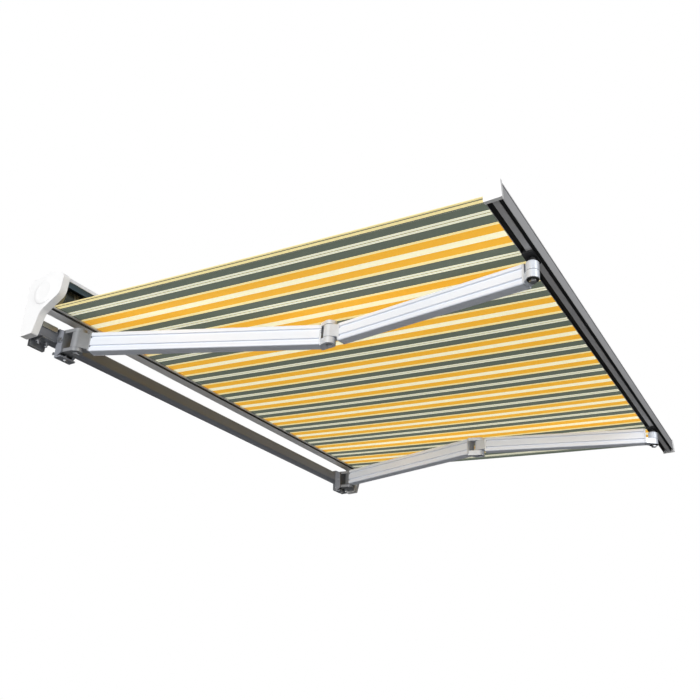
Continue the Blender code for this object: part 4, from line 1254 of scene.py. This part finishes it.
@dataclass
class FoldingArm:
    """One arm: upper arm, elbow, forearm and front joint."""

    geometry: Geometry
    shop: Workshop
    side: Side
    upper_width: float = 0.040
    upper_height: float = 0.064
    fore_width: float = 0.036
    fore_height: float = 0.056
    wall: float = 0.003
    groove_level: float = 0.24
    groove_width: float = 0.0080
    groove_floor: float = 0.62
    groove_depth: float = 0.0055
    side_wall: float = 0.0070
    fillet: float = 0.004
    fold_gap: float = 0.001
    spigot: float = 0.050
    end_plate: float = 0.006
    cast_step: float = 0.001
    hinge_gap: float = 0.0004
    shoulder_radius: float = 0.021
    shoulder_barrel: float = 0.052
    shoulder_reach: float = 0.040
    shoulder_pin: float = 0.008
    elbow_radius: float = 0.019
    elbow_height: float = 0.072
    elbow_top: float = 0.012
    elbow_bottom: float = 0.019
    elbow_reach: float = 0.033
    elbow_pin: float = 0.007
    elbow_gap: float = 0.0014
    stop_inset: float = 0.013
    stop_gap: float = 0.0015
    stop_edge: float = 0.006
    slot_levels: tuple[float, ...] = (0.004, 0.0105, 0.017)
    slot_height: float = 0.0016
    slot_span: Point = (0.013, 0.031)
    elbow_hex: float = 0.010
    hex_depth: float = 0.008
    front_radius: float = 0.0165
    front_split: float = -0.004
    front_bottom: float = -0.026
    front_reach: float = 0.030
    front_pin: float = 0.006
    washer: float = 0.002
    plate_half: float = 0.032
    plate_thickness: float = 0.0045
    plate_fillet: float = 0.004
    key_inset: float = 0.004
    key_width: float = 0.0095
    key_height: float = 0.008
    cheek_height: float = 0.022
    bolt_depth: float = 0.020

    def __post_init__(self) -> None:
        """Places the member frames."""
        g = self.geometry
        self.upper = g.member(g.shoulder, g.elbow)
        self.upper_back = g.member(g.elbow, g.shoulder)
        self.fore = g.member(g.elbow, g.front)
        self.fore_back = g.member(g.front, g.elbow)
        self.upper_length = (g.elbow.translation - g.shoulder.translation).length
        self.fore_length = (g.front.translation - g.elbow.translation).length

    def add(
        self,
        name: str,
        bm: Solid,
        body: str,
        slot: Slot,
        edge: float = EDGE,
        tone: Tone | None = None,
    ) -> None:
        """Adds a piece that replaces the node of the same name on this side."""
        node = f"{name}_{self.side.word}"
        where = body if body in ("root", "front_bar") else f"{self.side.word}_{body}"
        self.shop.piece(node, bm, where, slot, node, self.side, edge, tone)

    def lug(self, radius: float, reach: float, low: float, high: float) -> list[Point]:
        """A knuckle's plan: a round end that widens to the arm's end face."""
        step = self.cast_step
        return hull(circle(radius, KNUCKLE_SIDES) + [(reach, low + step), (reach, high - step)])

    def extrusion(
        self, member: Matrix, span: float, width: float, height: float, ends: Point
    ) -> Solid:
        """An arm tube with two fine grooves in each side."""
        low, high = self.fold_gap, self.fold_gap + width
        half = height / 2
        groove, depth, fillet = self.groove_width / 2, self.groove_depth, self.fillet
        floor = groove * self.groove_floor
        levels = (-height * self.groove_level, height * self.groove_level)
        corners: list[Corner] = [(low, -half, fillet), (high, -half, fillet)]
        soft = 0.0002
        for z in levels:
            corners += [(high, z - groove, soft), (high - depth, z - floor, soft)]
            corners += [(high - depth, z + floor, soft), (high, z + groove, soft)]
        corners += [(high, half, fillet), (low, half, fillet)]
        for z in levels[::-1]:
            corners += [(low, z + groove, soft), (low + depth, z + floor, soft)]
            corners += [(low + depth, z - floor, soft), (low, z - groove, soft)]
        wall, side = self.wall, self.side_wall
        hole = rectangle(low + side, high - side, -half + wall, half - wall)
        return prism(section_of(member), rounded(corners), ends[0], span - ends[1], [hole])

    def fitting(
        self, member: Matrix, flip: bool, reach: float, width: float, height: float
    ) -> tuple[Solid, Solid]:
        """The plate that closes an arm tube, and the spigot inside the tube."""
        sign = -1 if flip else 1
        low, high = sorted((sign * self.fold_gap, sign * (self.fold_gap + width)))
        half = height / 2
        section = section_of(member)
        corners = [(low, -half), (high, -half), (high, half), (low, half)]
        outline = rounded([(a, b, self.fillet) for a, b in corners])
        plate = prism(section, outline, reach - self.end_plate, reach - SEAT_GAP)
        side = self.side_wall + SEAT_GAP
        inner = self.wall + SEAT_GAP
        plug = rectangle(low + side, high - side, -half + inner, half - inner)
        return plate, prism(section, plug, reach - self.end_plate / 2, reach + self.spigot)

    def upper_arm(self) -> None:
        """The upper arm with its shoulder knuckle, elbow fork and elbow pin."""
        width, height = self.upper_width, self.upper_height
        wide = self.fold_gap + width
        tube = self.extrusion(
            self.upper, self.upper_length, width, height, (self.shoulder_reach, self.elbow_reach)
        )
        self.add("upper_arm_profile", tube, "upper_arm", Slot.ARM_COAT, edge=0.0004)
        half = self.shoulder_barrel / 2
        plate, spigot = self.fitting(self.upper, False, self.shoulder_reach, width, height)
        reach = self.shoulder_reach - self.end_plate / 2
        plan = self.lug(self.shoulder_radius, reach, self.fold_gap, wide - 0.002)
        knuckle = joined(prism(self.upper, plan, -half, half), plate, spigot)
        bore = self.shoulder_pin + self.hinge_gap
        knuckle = cut(knuckle, rod(self.upper, bore, -half - OVERCUT, half + OVERCUT))
        # Painted shade: the shoulder knuckle takes the darker copy of the cast joint finish.
        self.add("shoulder_knuckle", knuckle, "upper_arm", Slot.CAST_JOINT, 0.0012, Tone.DARK_CAST)

        plate, spigot = self.fitting(self.upper_back, True, self.elbow_reach, width, height)
        reach = self.elbow_reach - self.end_plate / 2
        plan = self.lug(self.elbow_radius, reach, -wide + 0.002, -self.fold_gap)
        top, step = self.elbow_height / 2, self.cast_step
        lower = prism(self.upper_back, plan, -top, -top + self.elbow_bottom)
        upper = prism(self.upper_back, plan, top - self.elbow_top, top)
        web = rectangle(
            self.elbow_reach - self.end_plate + step,
            self.elbow_reach - 2 * step,
            5 * step - wide,
            -self.fold_gap - 3 * step,
        )
        tall = prism(self.upper_back, web, step - top, top - step)
        fork = joined(lower, tall, plate, spigot, upper)
        hole = self.elbow_pin + SEAT_GAP
        bore = rod(self.upper_back, hole, -top - OVERCUT, top - self.elbow_top / 2)
        recess = prism(
            self.upper_back, circle(self.elbow_hex + SEAT_GAP, 6), -top - 0.012, -top + self.hex_depth
        )
        through = rectangle(*self.slot_span, -wide - 0.004, 0.004)
        slots = [
            prism(self.upper_back, through, level, level + self.slot_height) for level in self.slot_levels
        ]
        self.add("elbow_fork", cut(fork, bore, recess, *slots), "upper_arm", Slot.CAST_JOINT, edge=0.0007)
        start = self.elbow_radius + self.stop_gap
        stop_plan = rectangle(start, web[0][0] - SEAT_GAP, self.stop_edge - wide, -self.stop_inset)
        low, high = -top + self.elbow_bottom + SEAT_GAP, top - self.elbow_top - SEAT_GAP
        stop = prism(self.upper_back, stop_plan, low, high)
        # Painted shade: the stop takes the darker cast finish so that the gap behind the knuckle reads dark.
        self.shop.piece(
            f"elbow_stop_{self.side.word}",
            stop,
            f"{self.side.word}_upper_arm",
            Slot.CAST_JOINT,
            side=self.side,
            tone=Tone.DARK_CAST,
        )
        base = flipped(self.upper_back, self.hex_depth - SEAT_GAP - top)
        head = bolt_head(base, self.elbow_hex, self.hex_depth - 0.0025)
        shank = rod(
            self.upper_back, self.elbow_pin, -top + 0.004, top - self.elbow_top / 2 - SEAT_GAP
        )
        self.add("elbow_pin", joined(head, shank), "upper_arm", Slot.ZINC_STEEL, edge=0.0003)

    def forearm(self) -> None:
        """The forearm with its elbow and front knuckles."""
        width, height = self.fore_width, self.fore_height
        wide = self.fold_gap + width
        tube = self.extrusion(
            self.fore, self.fore_length, width, height, (self.elbow_reach, self.front_reach)
        )
        self.add("forearm_profile", tube, "forearm", Slot.ARM_COAT, edge=0.0004)
        low = -self.elbow_height / 2 + self.elbow_bottom + self.elbow_gap
        high = self.elbow_height / 2 - self.elbow_top - self.elbow_gap
        plate, spigot = self.fitting(self.fore, False, self.elbow_reach, width, height)
        reach = self.elbow_reach - self.end_plate / 2
        plan = self.lug(self.elbow_radius, reach, self.fold_gap, wide - 0.002)
        knuckle = joined(prism(self.fore, plan, low, high), plate, spigot)
        hole = self.elbow_pin + self.hinge_gap
        knuckle = cut(knuckle, rod(self.fore, hole, low - OVERCUT, high + OVERCUT))
        self.add("elbow_knuckle", knuckle, "forearm", Slot.CAST_JOINT, edge=0.0008)
        plate, spigot = self.fitting(self.fore_back, True, self.front_reach, width, height)
        reach = self.front_reach - self.end_plate / 2
        plan = self.lug(self.front_radius, reach, -wide + 0.004, -self.fold_gap)
        split = self.front_split - self.elbow_gap
        knuckle = joined(prism(self.fore_back, plan, self.front_bottom, split), plate, spigot)
        hole = self.front_pin + self.hinge_gap
        bore = rod(self.fore_back, hole, self.front_bottom - OVERCUT, split + OVERCUT)
        self.add("front_knuckle", cut(knuckle, bore), "forearm", Slot.CAST_JOINT, edge=0.0008)

    def front_joint(self) -> None:
        """The bracket keyed in the front profile and the bolt of its joint."""
        g = self.geometry
        centre = g.front.translation
        top = g.front_bottom - SEAT_GAP
        x0, x1 = centre.x - self.plate_half, centre.x + self.plate_half
        near, far = g.front_inner - 0.001, 2 * centre.y - g.front_inner
        corners = ((x0, near), (x0, far), (x1, far), (x1, near))
        plan = rounded([(a, b, self.plate_fillet) for a, b in corners])
        plate = prism(FROM_ABOVE, plan, top - self.plate_thickness, top)
        inset = self.key_inset
        groove = g.front_inner - inset
        slot = rectangle(
            x0 + inset, x1 - inset, groove - self.key_width + SEAT_GAP, groove - SEAT_GAP
        )
        key = prism(FROM_ABOVE, slot, top - 0.002, top + self.key_height)
        rise = (top - centre.z) / math.cos(g.pitch)
        cheek = self.front_split + self.cheek_height
        barrel = turned(
            g.front,
            [
                (self.front_radius, self.front_split),
                (self.front_radius, cheek),
                (self.front_radius * 0.8, cheek + 0.0036),
            ],
        )
        hole, depth = self.front_pin + SEAT_GAP, self.bolt_depth
        bore = rod(g.front, hole, self.front_split - OVERCUT, depth)
        body = "front_bar" if self.side is Side.LEFT else "front_bracket"
        self.add("front_bracket", cut(barrel, bore), body, Slot.CAST_JOINT, edge=0.0009)
        rides = body if self.side is Side.LEFT else "right_front_bracket"
        name = f"front_plate_{self.side.word}"
        neck = rod(g.front, self.front_radius * 0.5, cheek + 0.004, rise - 0.002)
        solid = joined(plate, key, neck)
        self.shop.piece(name, solid, rides, Slot.DARK_PLASTIC, side=self.side, edge=0.0006)
        low = self.front_bottom - SEAT_GAP
        washer = rod(g.front, self.front_radius * 0.9, low - self.washer, low)
        washer = cut(washer, rod(g.front, hole, low - 0.02, low + 0.02))
        forearm = f"{self.side.word}_forearm"
        self.shop.piece(f"front_washer_{self.side.word}", washer, forearm, Slot.DARK_PLASTIC, side=self.side)
        base = flipped(g.front, low - self.washer - SEAT_GAP)
        head = bolt_head(base, self.front_pin * 1.6, 0.006)
        shank = rod(g.front, self.front_pin, self.front_bottom - 0.004, depth - SEAT_GAP)
        self.add("front_bolt", joined(head, shank), body, Slot.ZINC_STEEL, edge=0.0003)

    def build(self) -> None:
        """Builds the arm's moving pieces."""
        self.upper_arm()
        self.forearm()
        self.front_joint()


@dataclass
class ArmBracket:
    """The bracket on the bar, the tilting carrier in it and its bolts."""

    geometry: Geometry
    shop: Workshop
    half_width: float = 0.024
    carrier_back: float = 0.039
    ear_inset: float = 0.002
    shelf_lead: float = 0.004
    fillet: float = 0.003
    web: float = 0.013
    wall: float = 0.007
    ear: float = 0.005
    hook: float = 0.012
    pitch_bolt: float = 0.005
    pitch_screw: float = 0.004
    screw_inset: float = 0.010
    lug_thickness: float = 0.0115
    barrel: float = 0.052
    radius: float = 0.021
    pin: float = 0.008
    step: float = 0.001

    def build(self, side: Side) -> None:
        """Builds the bracket, the carrier and the fasteners."""
        g = self.geometry
        centre = g.shoulder.translation
        outer = self.half_width + SEAT_GAP + self.ear
        x0, x1 = centre.x - outer, centre.x + outer
        half_bar = g.bar_size / 2
        over = half_bar + SEAT_GAP
        front, back = g.bar_y - half_bar - SEAT_GAP, g.bar_y + half_bar + SEAT_GAP
        face = front - self.wall
        shelf_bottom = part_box("arm_bracket_left")[0].z
        shelf_top = shelf_bottom + self.ear
        web_front = centre.y + self.carrier_back
        nose = web_front - self.shelf_lead
        ear_front = web_front - self.ear_inset
        clamp = rounded(
            [
                (back + 0.005, over - self.hook, 0.001),
                (back + 0.005, over + self.wall, self.fillet),
                (face, over + self.wall, self.fillet),
                (face, shelf_top, 0.002),
                (nose, shelf_top, 0.0005),
                (nose, shelf_bottom, 0.001),
                (front, shelf_bottom, self.fillet),
                (front, over, 0),
                (back, over, 0),
                (back, over - self.hook, 0.0005),
            ]
        )
        ear = rounded(
            [
                (face + 0.002, over + self.wall - 0.002, 0),
                (ear_front, over - 0.004, 0.006),
                (ear_front, shelf_top + 0.010, 0.006),
                (face + 0.002, shelf_bottom + 0.002, 0),
            ]
        )
        ears = [prism(ALONG_X, ear, a, b) for a, b in ((x0, x0 + self.ear), (x1 - self.ear, x1))]
        bolt_place = moved(g.shoulder, b=self.carrier_back + self.web / 2).translation
        across = placed(*RIGHTWARDS, (centre.x, *bolt_place.yz))
        hole = self.pitch_bolt + SEAT_GAP
        wide = outer + OVERCUT
        thread = downwards((centre.x, bolt_place.y, shelf_top))
        thread_radius = self.pitch_screw + SEAT_GAP
        body = cut(
            joined(prism(ALONG_X, clamp, x0, x1), *ears),
            rod(across, hole, -wide, wide, SCREW_SIDES),
            rod(thread, thread_radius, -OVERCUT, 2 * OVERCUT, SCREW_SIDES),
        )
        word = side.word
        add = self.shop.piece
        add(f"arm_bracket_{word}", body, "root", Slot.BAR_COAT, f"arm_bracket_{word}", side, 0.0009)
        head = bolt_head(flipped(across, -outer - SEAT_GAP), self.pitch_bolt * 1.8, 0.0057)
        shank = rod(across, self.pitch_bolt, -outer - 0.002, outer - SEAT_GAP, SCREW_SIDES)
        name = f"pitch_bolt_{word}"
        add(name, joined(head, shank), "root", Slot.ZINC_STEEL, name, side, 0.0003)
        for index, level in enumerate((over - self.screw_inset, shelf_top + self.screw_inset), 1):
            place = (x0 - SEAT_GAP, face + self.screw_inset, level)
            screw = bolt_head(placed(*LEFTWARDS, place), self.pitch_screw * 1.3, 0.0026)
            add(f"bracket_screw_{word}_{index}", screw, "root", Slot.ZINC_STEEL, side=side, edge=0.0003)
        half = self.barrel / 2 + 0.0004
        high = half + self.lug_thickness
        width, step = self.half_width, self.step
        web_plan = rectangle(-width, width, self.carrier_back, self.carrier_back + self.web)
        solid = prism(g.shoulder, web_plan, step - high, high - step)
        narrow = width - step
        ends = [(a, self.carrier_back + 0.004) for a in (-narrow, narrow)]
        plan = hull(circle(self.radius, KNUCKLE_SIDES) + ends)
        lugs = [prism(g.shoulder, plan, a, b) for a, b in ((half, high), (-high, -half))]
        pin_hole = self.pin + SEAT_GAP
        solid = cut(
            joined(solid, *lugs),
            rod(g.shoulder, pin_hole, -high - OVERCUT, high + OVERCUT),
            rod(across, hole, -wide, wide, SCREW_SIDES),
        )
        name = f"arm_carrier_{word}"
        # Painted shade: the carrier takes the darker copy of the cast joint finish.
        add(name, solid, "root", Slot.CAST_JOINT, name, side, 0.0009, Tone.DARK_CAST)
        collar = self.pin * 1.5
        pin = turned(
            g.shoulder,
            [
                (collar - 0.001, -high - 0.005),
                (collar, -high - 0.004),
                (collar, -high - SEAT_GAP),
                (self.pin, -high - SEAT_GAP),
                (self.pin, high + 0.002),
                (self.pin - 0.001, high + 0.003),
            ],
        )
        name = f"shoulder_pin_{word}"
        add(name, pin, "root", Slot.ZINC_STEEL, name, side, 0)
        screw_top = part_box("pitch_screw_left")[1].z
        drop = self.ear + SEAT_GAP
        head = bolt_head(moved(thread, w=drop), self.pitch_screw * 1.8, 0.005)
        shank = rod(thread, self.pitch_screw, shelf_top - screw_top, drop + 0.003, SCREW_SIDES)
        name = f"pitch_screw_{word}"
        add(name, joined(head, shank), "root", Slot.ZINC_STEEL, name, side, 0.0003)


@dataclass
class FrontProfile:
    """The front extrusion with its two bottom grooves and keder slot, and its end caps."""

    geometry: Geometry
    shop: Workshop
    cloth: Cloth
    wall: float = 0.003
    lip: float = 0.0012
    inner_width: float = 0.0132
    outer_width: float = 0.0100
    slot_depth: float = 0.010
    cap_thickness: float = 0.011
    cap_rim: float = 0.0015
    strip_thickness: float = 0.0015
    seam_drop: float = 0.0165
    seam_width: float = 0.0034
    seam_inset: float = 0.0004
    seam_depth: float = 0.0024

    def shell(self, rim: float = 0.0) -> list[Corner]:
        """The outer shape above the bottom edge."""
        g = self.geometry
        inner, outer = g.front_inner + rim, g.front_outer - rim
        bottom, top = g.front_bottom - rim, g.front_top + rim
        return [
            (inner, top - 0.016, 0.010),
            (inner - 0.014, top, 0.012),
            (outer, top, 0.013),
            (outer, bottom, 0.0015),
        ]

    def build(self) -> None:
        """Builds the extrusion and the caps."""
        g = self.geometry
        inner, outer, bottom = g.front_inner, g.front_outer, g.front_bottom
        keder = self.cloth.keder_radius + SEAT_GAP * 2
        throat = 0.0006 + SEAT_GAP * 2
        bead = self.cloth.point(self.cloth.front_reach, 0.0006)
        spread = math.atan2(throat, math.sqrt(keder**2 - throat**2))
        outline = [(inner, bottom), (inner, bead.y - throat + 0.0004)]
        outline += arc(bead, keder, 2 * math.pi - spread, spread)
        outline += [(inner, bead.y + throat + 0.0004)]
        seam, half = g.front_top - self.seam_drop, self.seam_width / 2
        notch = [
            (outer, seam + half, 0),
            (outer + self.seam_depth, seam + half, 0),
            (outer + self.seam_depth, seam - half, 0),
            (outer, seam - half, 0),
        ]
        shell = self.shell()
        outline += rounded([(inner, bottom, 0), *shell[:-1], *notch, shell[-1]])[1:]
        inner_slot = inner - self.lip
        outer_slot = outer + self.lip
        deep = bottom + self.slot_depth
        slots = {
            "outer": (outer_slot, outer_slot + self.outer_width),
            "inner": (inner_slot - self.inner_width, inner_slot),
        }
        for start, end in slots.values():
            outline += [(start, bottom), (start, deep), (end, deep), (end, bottom)]
        top = g.front_top - self.wall - 0.008
        chamber = rectangle(outer + self.wall, inner - 0.012, deep + self.wall, top)
        solid = prism(ALONG_X, outline, g.front_left, g.front_right, [chamber])
        # Painted shade: the rail takes a darker copy of the profile coat.
        self.shop.piece(
            "front_rail",
            solid,
            "front_bar",
            Slot.PROFILE_COAT,
            "front_profile",
            edge=0.0003,
            tone=Tone.FRONT_COAT,
        )
        low, high = deep - self.strip_thickness, deep - SEAT_GAP
        foot = bottom + 0.0006
        # Painted shade: a near-black strip in the notch along the outer face, so that the notch reads as a dark
        # line.
        near, far, tight = outer + self.seam_inset, outer + self.seam_depth - SEAT_GAP, half - SEAT_GAP
        notch_shade_section = rectangle(near, far, seam - tight, seam + tight)
        solid = prism(ALONG_X, notch_shade_section, g.front_left, g.front_right)
        self.shop.piece("face_seam", solid, "front_bar", Slot.DARK_PLASTIC, edge=0)
        # Painted shade: near-black strips lining the two bottom grooves so that they read dark.
        for word, (start, end) in slots.items():
            near, far = start + SEAT_GAP, end - SEAT_GAP
            leg = far - self.strip_thickness
            section = [(near, low), (leg, low), (leg, foot), (far, foot), (far, high), (near, high)]
            solid = prism(ALONG_X, section, g.front_left, g.front_right)
            self.shop.piece(f"groove_strip_{word}", solid, "front_bar", Slot.DARK_PLASTIC, edge=0)
        cap = rounded([(inner + self.cap_rim, bottom - self.cap_rim, 0.001), *self.shell(self.cap_rim)])
        ends = (
            ("left", g.front_left - SEAT_GAP),
            ("right", g.front_right + SEAT_GAP + self.cap_thickness),
        )
        for word, start in ends:
            solid = prism(ALONG_X, cap, start - self.cap_thickness, start)
            name = f"front_cap_{word}"
            self.shop.piece(name, solid, "front_bar", Slot.WHITE_PLASTIC, name, edge=0.0022)


@dataclass
class Studio:
    """Camera, lamps, floor and the white world."""

    floor_height: float = -3.2
    floor_half: float = 2.6
    lens: float = 40.97
    sky: float = 0.045
    place: tuple[float, float, float] = (-2.2978, -1.9573, -1.1426)
    look: tuple[float, float, float] = (0.7716, 0.4542, 0.4454)
    right: tuple[float, float, float] = (0.5073, -0.8618, 0.0)
    aim: tuple[float, float, float] = (0.0, -0.8, 0.0)

    def camera(self) -> None:
        """Sets the camera at the photograph's place."""
        data = bpy.data.cameras.new("camera")
        data.lens = self.lens
        data.sensor_width = 36.0
        data.clip_end = 60.0
        made = bpy.data.objects.new("camera", data)
        bpy.context.scene.collection.objects.link(made)
        look, right = Vector(self.look).normalized(), Vector(self.right).normalized()
        made.matrix_world = placed(right, right.cross(look), -look, self.place)
        bpy.context.scene.camera = made

    def lamp(self, name: str, place: Sequence[float], size: float, power: float) -> None:
        """Adds one soft area lamp.

        Args:
            name: Its name.
            place: Where it stands.
            size: Its side in metres.
            power: Its watts.
        """
        data = bpy.data.lights.new(name, "AREA")
        data.shape = "SQUARE"
        data.size = size
        data.energy = power
        made = bpy.data.objects.new(name, data)
        bpy.context.scene.collection.objects.link(made)
        made.location = place
        facing = Vector(self.aim) - Vector(place)
        made.rotation_euler = facing.to_track_quat("-Z", "Y").to_euler()
        made.visible_camera = False
        made.visible_glossy = True

    def world(self, strength: float) -> None:
        """A white world for the eye and an even, dimmer one for light."""
        world = bpy.data.worlds.new("world")
        world.use_nodes = True
        bpy.context.scene.world = world
        tree = world.node_tree
        tree.nodes.clear()
        path = tree.nodes.new("ShaderNodeLightPath")
        lit = tree.nodes.new("ShaderNodeBackground")
        lit.inputs["Color"].default_value = (0.95, 0.97, 1.0, 1.0)
        lit.inputs["Strength"].default_value = strength
        seen = tree.nodes.new("ShaderNodeBackground")
        seen.inputs["Color"].default_value = (1.0, 1.0, 1.0, 1.0)
        mix = tree.nodes.new("ShaderNodeMixShader")
        out = tree.nodes.new("ShaderNodeOutputWorld")
        either = tree.nodes.new("ShaderNodeMath")
        either.operation = "MAXIMUM"
        tree.links.new(path.outputs["Is Camera Ray"], either.inputs[0])
        tree.links.new(path.outputs["Is Transmission Ray"], either.inputs[1])
        tree.links.new(either.outputs[0], mix.inputs[0])
        tree.links.new(lit.outputs[0], mix.inputs[1])
        tree.links.new(seen.outputs[0], mix.inputs[2])
        tree.links.new(mix.outputs[0], out.inputs[0])

    def floor(self) -> None:
        """A pale floor far below the awning."""
        bm = bmesh.new()
        bmesh.ops.create_grid(bm, x_segments=1, y_segments=1, size=self.floor_half)
        floor = link("floor", bm)
        floor.location = (0, -0.8, self.floor_height)
        graph = NodeGraph("floor_paint")
        cloud = graph.noise(2.0)
        graph.set(
            Base_Color=graph.mix(cloud, (0.82, 0.82, 0.82, 1.0), (0.88, 0.88, 0.88, 1.0)),
            Roughness=0.8,
        )
        floor.data.materials.append(graph.material)

    def build(self) -> None:
        """Builds the studio."""
        self.camera()
        self.world(self.sky)
        self.lamp("side_lamp", (-19.5, -1.6, -0.7), 5.0, 3450)
        self.lamp("front_lamp", (-2.6, -8.0, 1.2), 2.6, 290)
        self.lamp("top_lamp", (-0.8, -1.4, 3.2), 2.6, 60)
        self.lamp("back_lamp", (5.0, 8.0, 1.6), 3.0, 230)
        self.floor()
        view = bpy.context.scene.view_settings
        view.view_transform = "Standard"


def finishes(geometry: Geometry) -> dict[Slot | Tone, bpy.types.Material]:
    """The material of each slot and tone."""
    table = {
        Slot.ARM_COAT: PowderCoat("arm_coat", linear(229, 234, 244), 0.3),
        Slot.PROFILE_COAT: PowderCoat("profile_coat", linear(232, 233, 236), 0.32),
        Slot.BAR_COAT: PowderCoat("bar_coat", linear(135, 138, 146), 0.46),
        Slot.WHITE_PLASTIC: Moulding("white_plastic", linear(246, 246, 246)),
        Slot.DARK_PLASTIC: Moulding("dark_plastic", linear(20, 20, 22), 0.6),
        Slot.CAST_JOINT: CastAluminium("cast_joint", linear(218, 223, 232)),
        Slot.ZINC_STEEL: PlatedSteel("zinc_steel", linear(190, 192, 196)),
        Slot.TUBE_STEEL: PlatedSteel("tube_steel", linear(170, 174, 178), 0.4),
        Slot.STRIPED_CLOTH: StripedCanvas(
            "striped_cloth", geometry.cloth_left, geometry.cloth_right, geometry.lip
        ),
        # Painted shade: the profile coat made darker for the front rail.
        Tone.FRONT_COAT: PowderCoat("front_coat", linear(196, 196, 198), 0.32),
        # Painted shade: the cast joint finish made darker.
        Tone.DARK_CAST: CastAluminium("dark_cast", linear(150, 152, 156)),
        # Painted shade: the colour of the dark sheet inside the hood.
        Tone.LINING: PowderCoat("lining", linear(70, 88, 98), 0.5),
        # Painted shade on the wound roll: darkened stripes, and a lip so far away that the roll never takes the
        # painted glow.
        Tone.WOUND_CLOTH: StripedCanvas(
            "wound_cloth", geometry.cloth_left, geometry.cloth_right, -geometry.cloth_right * 9, shade=0.75
        ),
    }
    return {slot: finish.material() for slot, finish in table.items()}


def dress_kept_nodes(shop: Workshop) -> None:
    """Gives the frame's own visible nodes the finish of their slots."""
    slots = {part["node"]: part["material_slot"] for part in frame["record"]["subparts"]}
    for name, node in frame["nodes"].items():
        shop.dress(node, Slot(slots[name]))


def main() -> None:
    """Builds the awning's looks and the studio."""
    logging.basicConfig(level=logging.INFO, format="%(name)s: %(message)s")
    geometry = Geometry()
    shop = Workshop(finishes(geometry))
    dress_kept_nodes(shop)
    cloth = Cloth(geometry, shop)
    TorsionBar(geometry, shop).build()
    HeadCasing(geometry, shop).build(cloth.point(cloth.lip_reach, 0.0012 + SEAT_GAP))
    for side in Side:
        WallBracket(geometry, shop).build(side)
        ArmBracket(geometry, shop).build(side)
        FoldingArm(geometry, shop, side).build()
    FrontProfile(geometry, shop, cloth).build()
    cloth.build()
    Studio().build()
    LOG.info("%d pieces", shop.count)


if __name__ == "__main__":
    main()
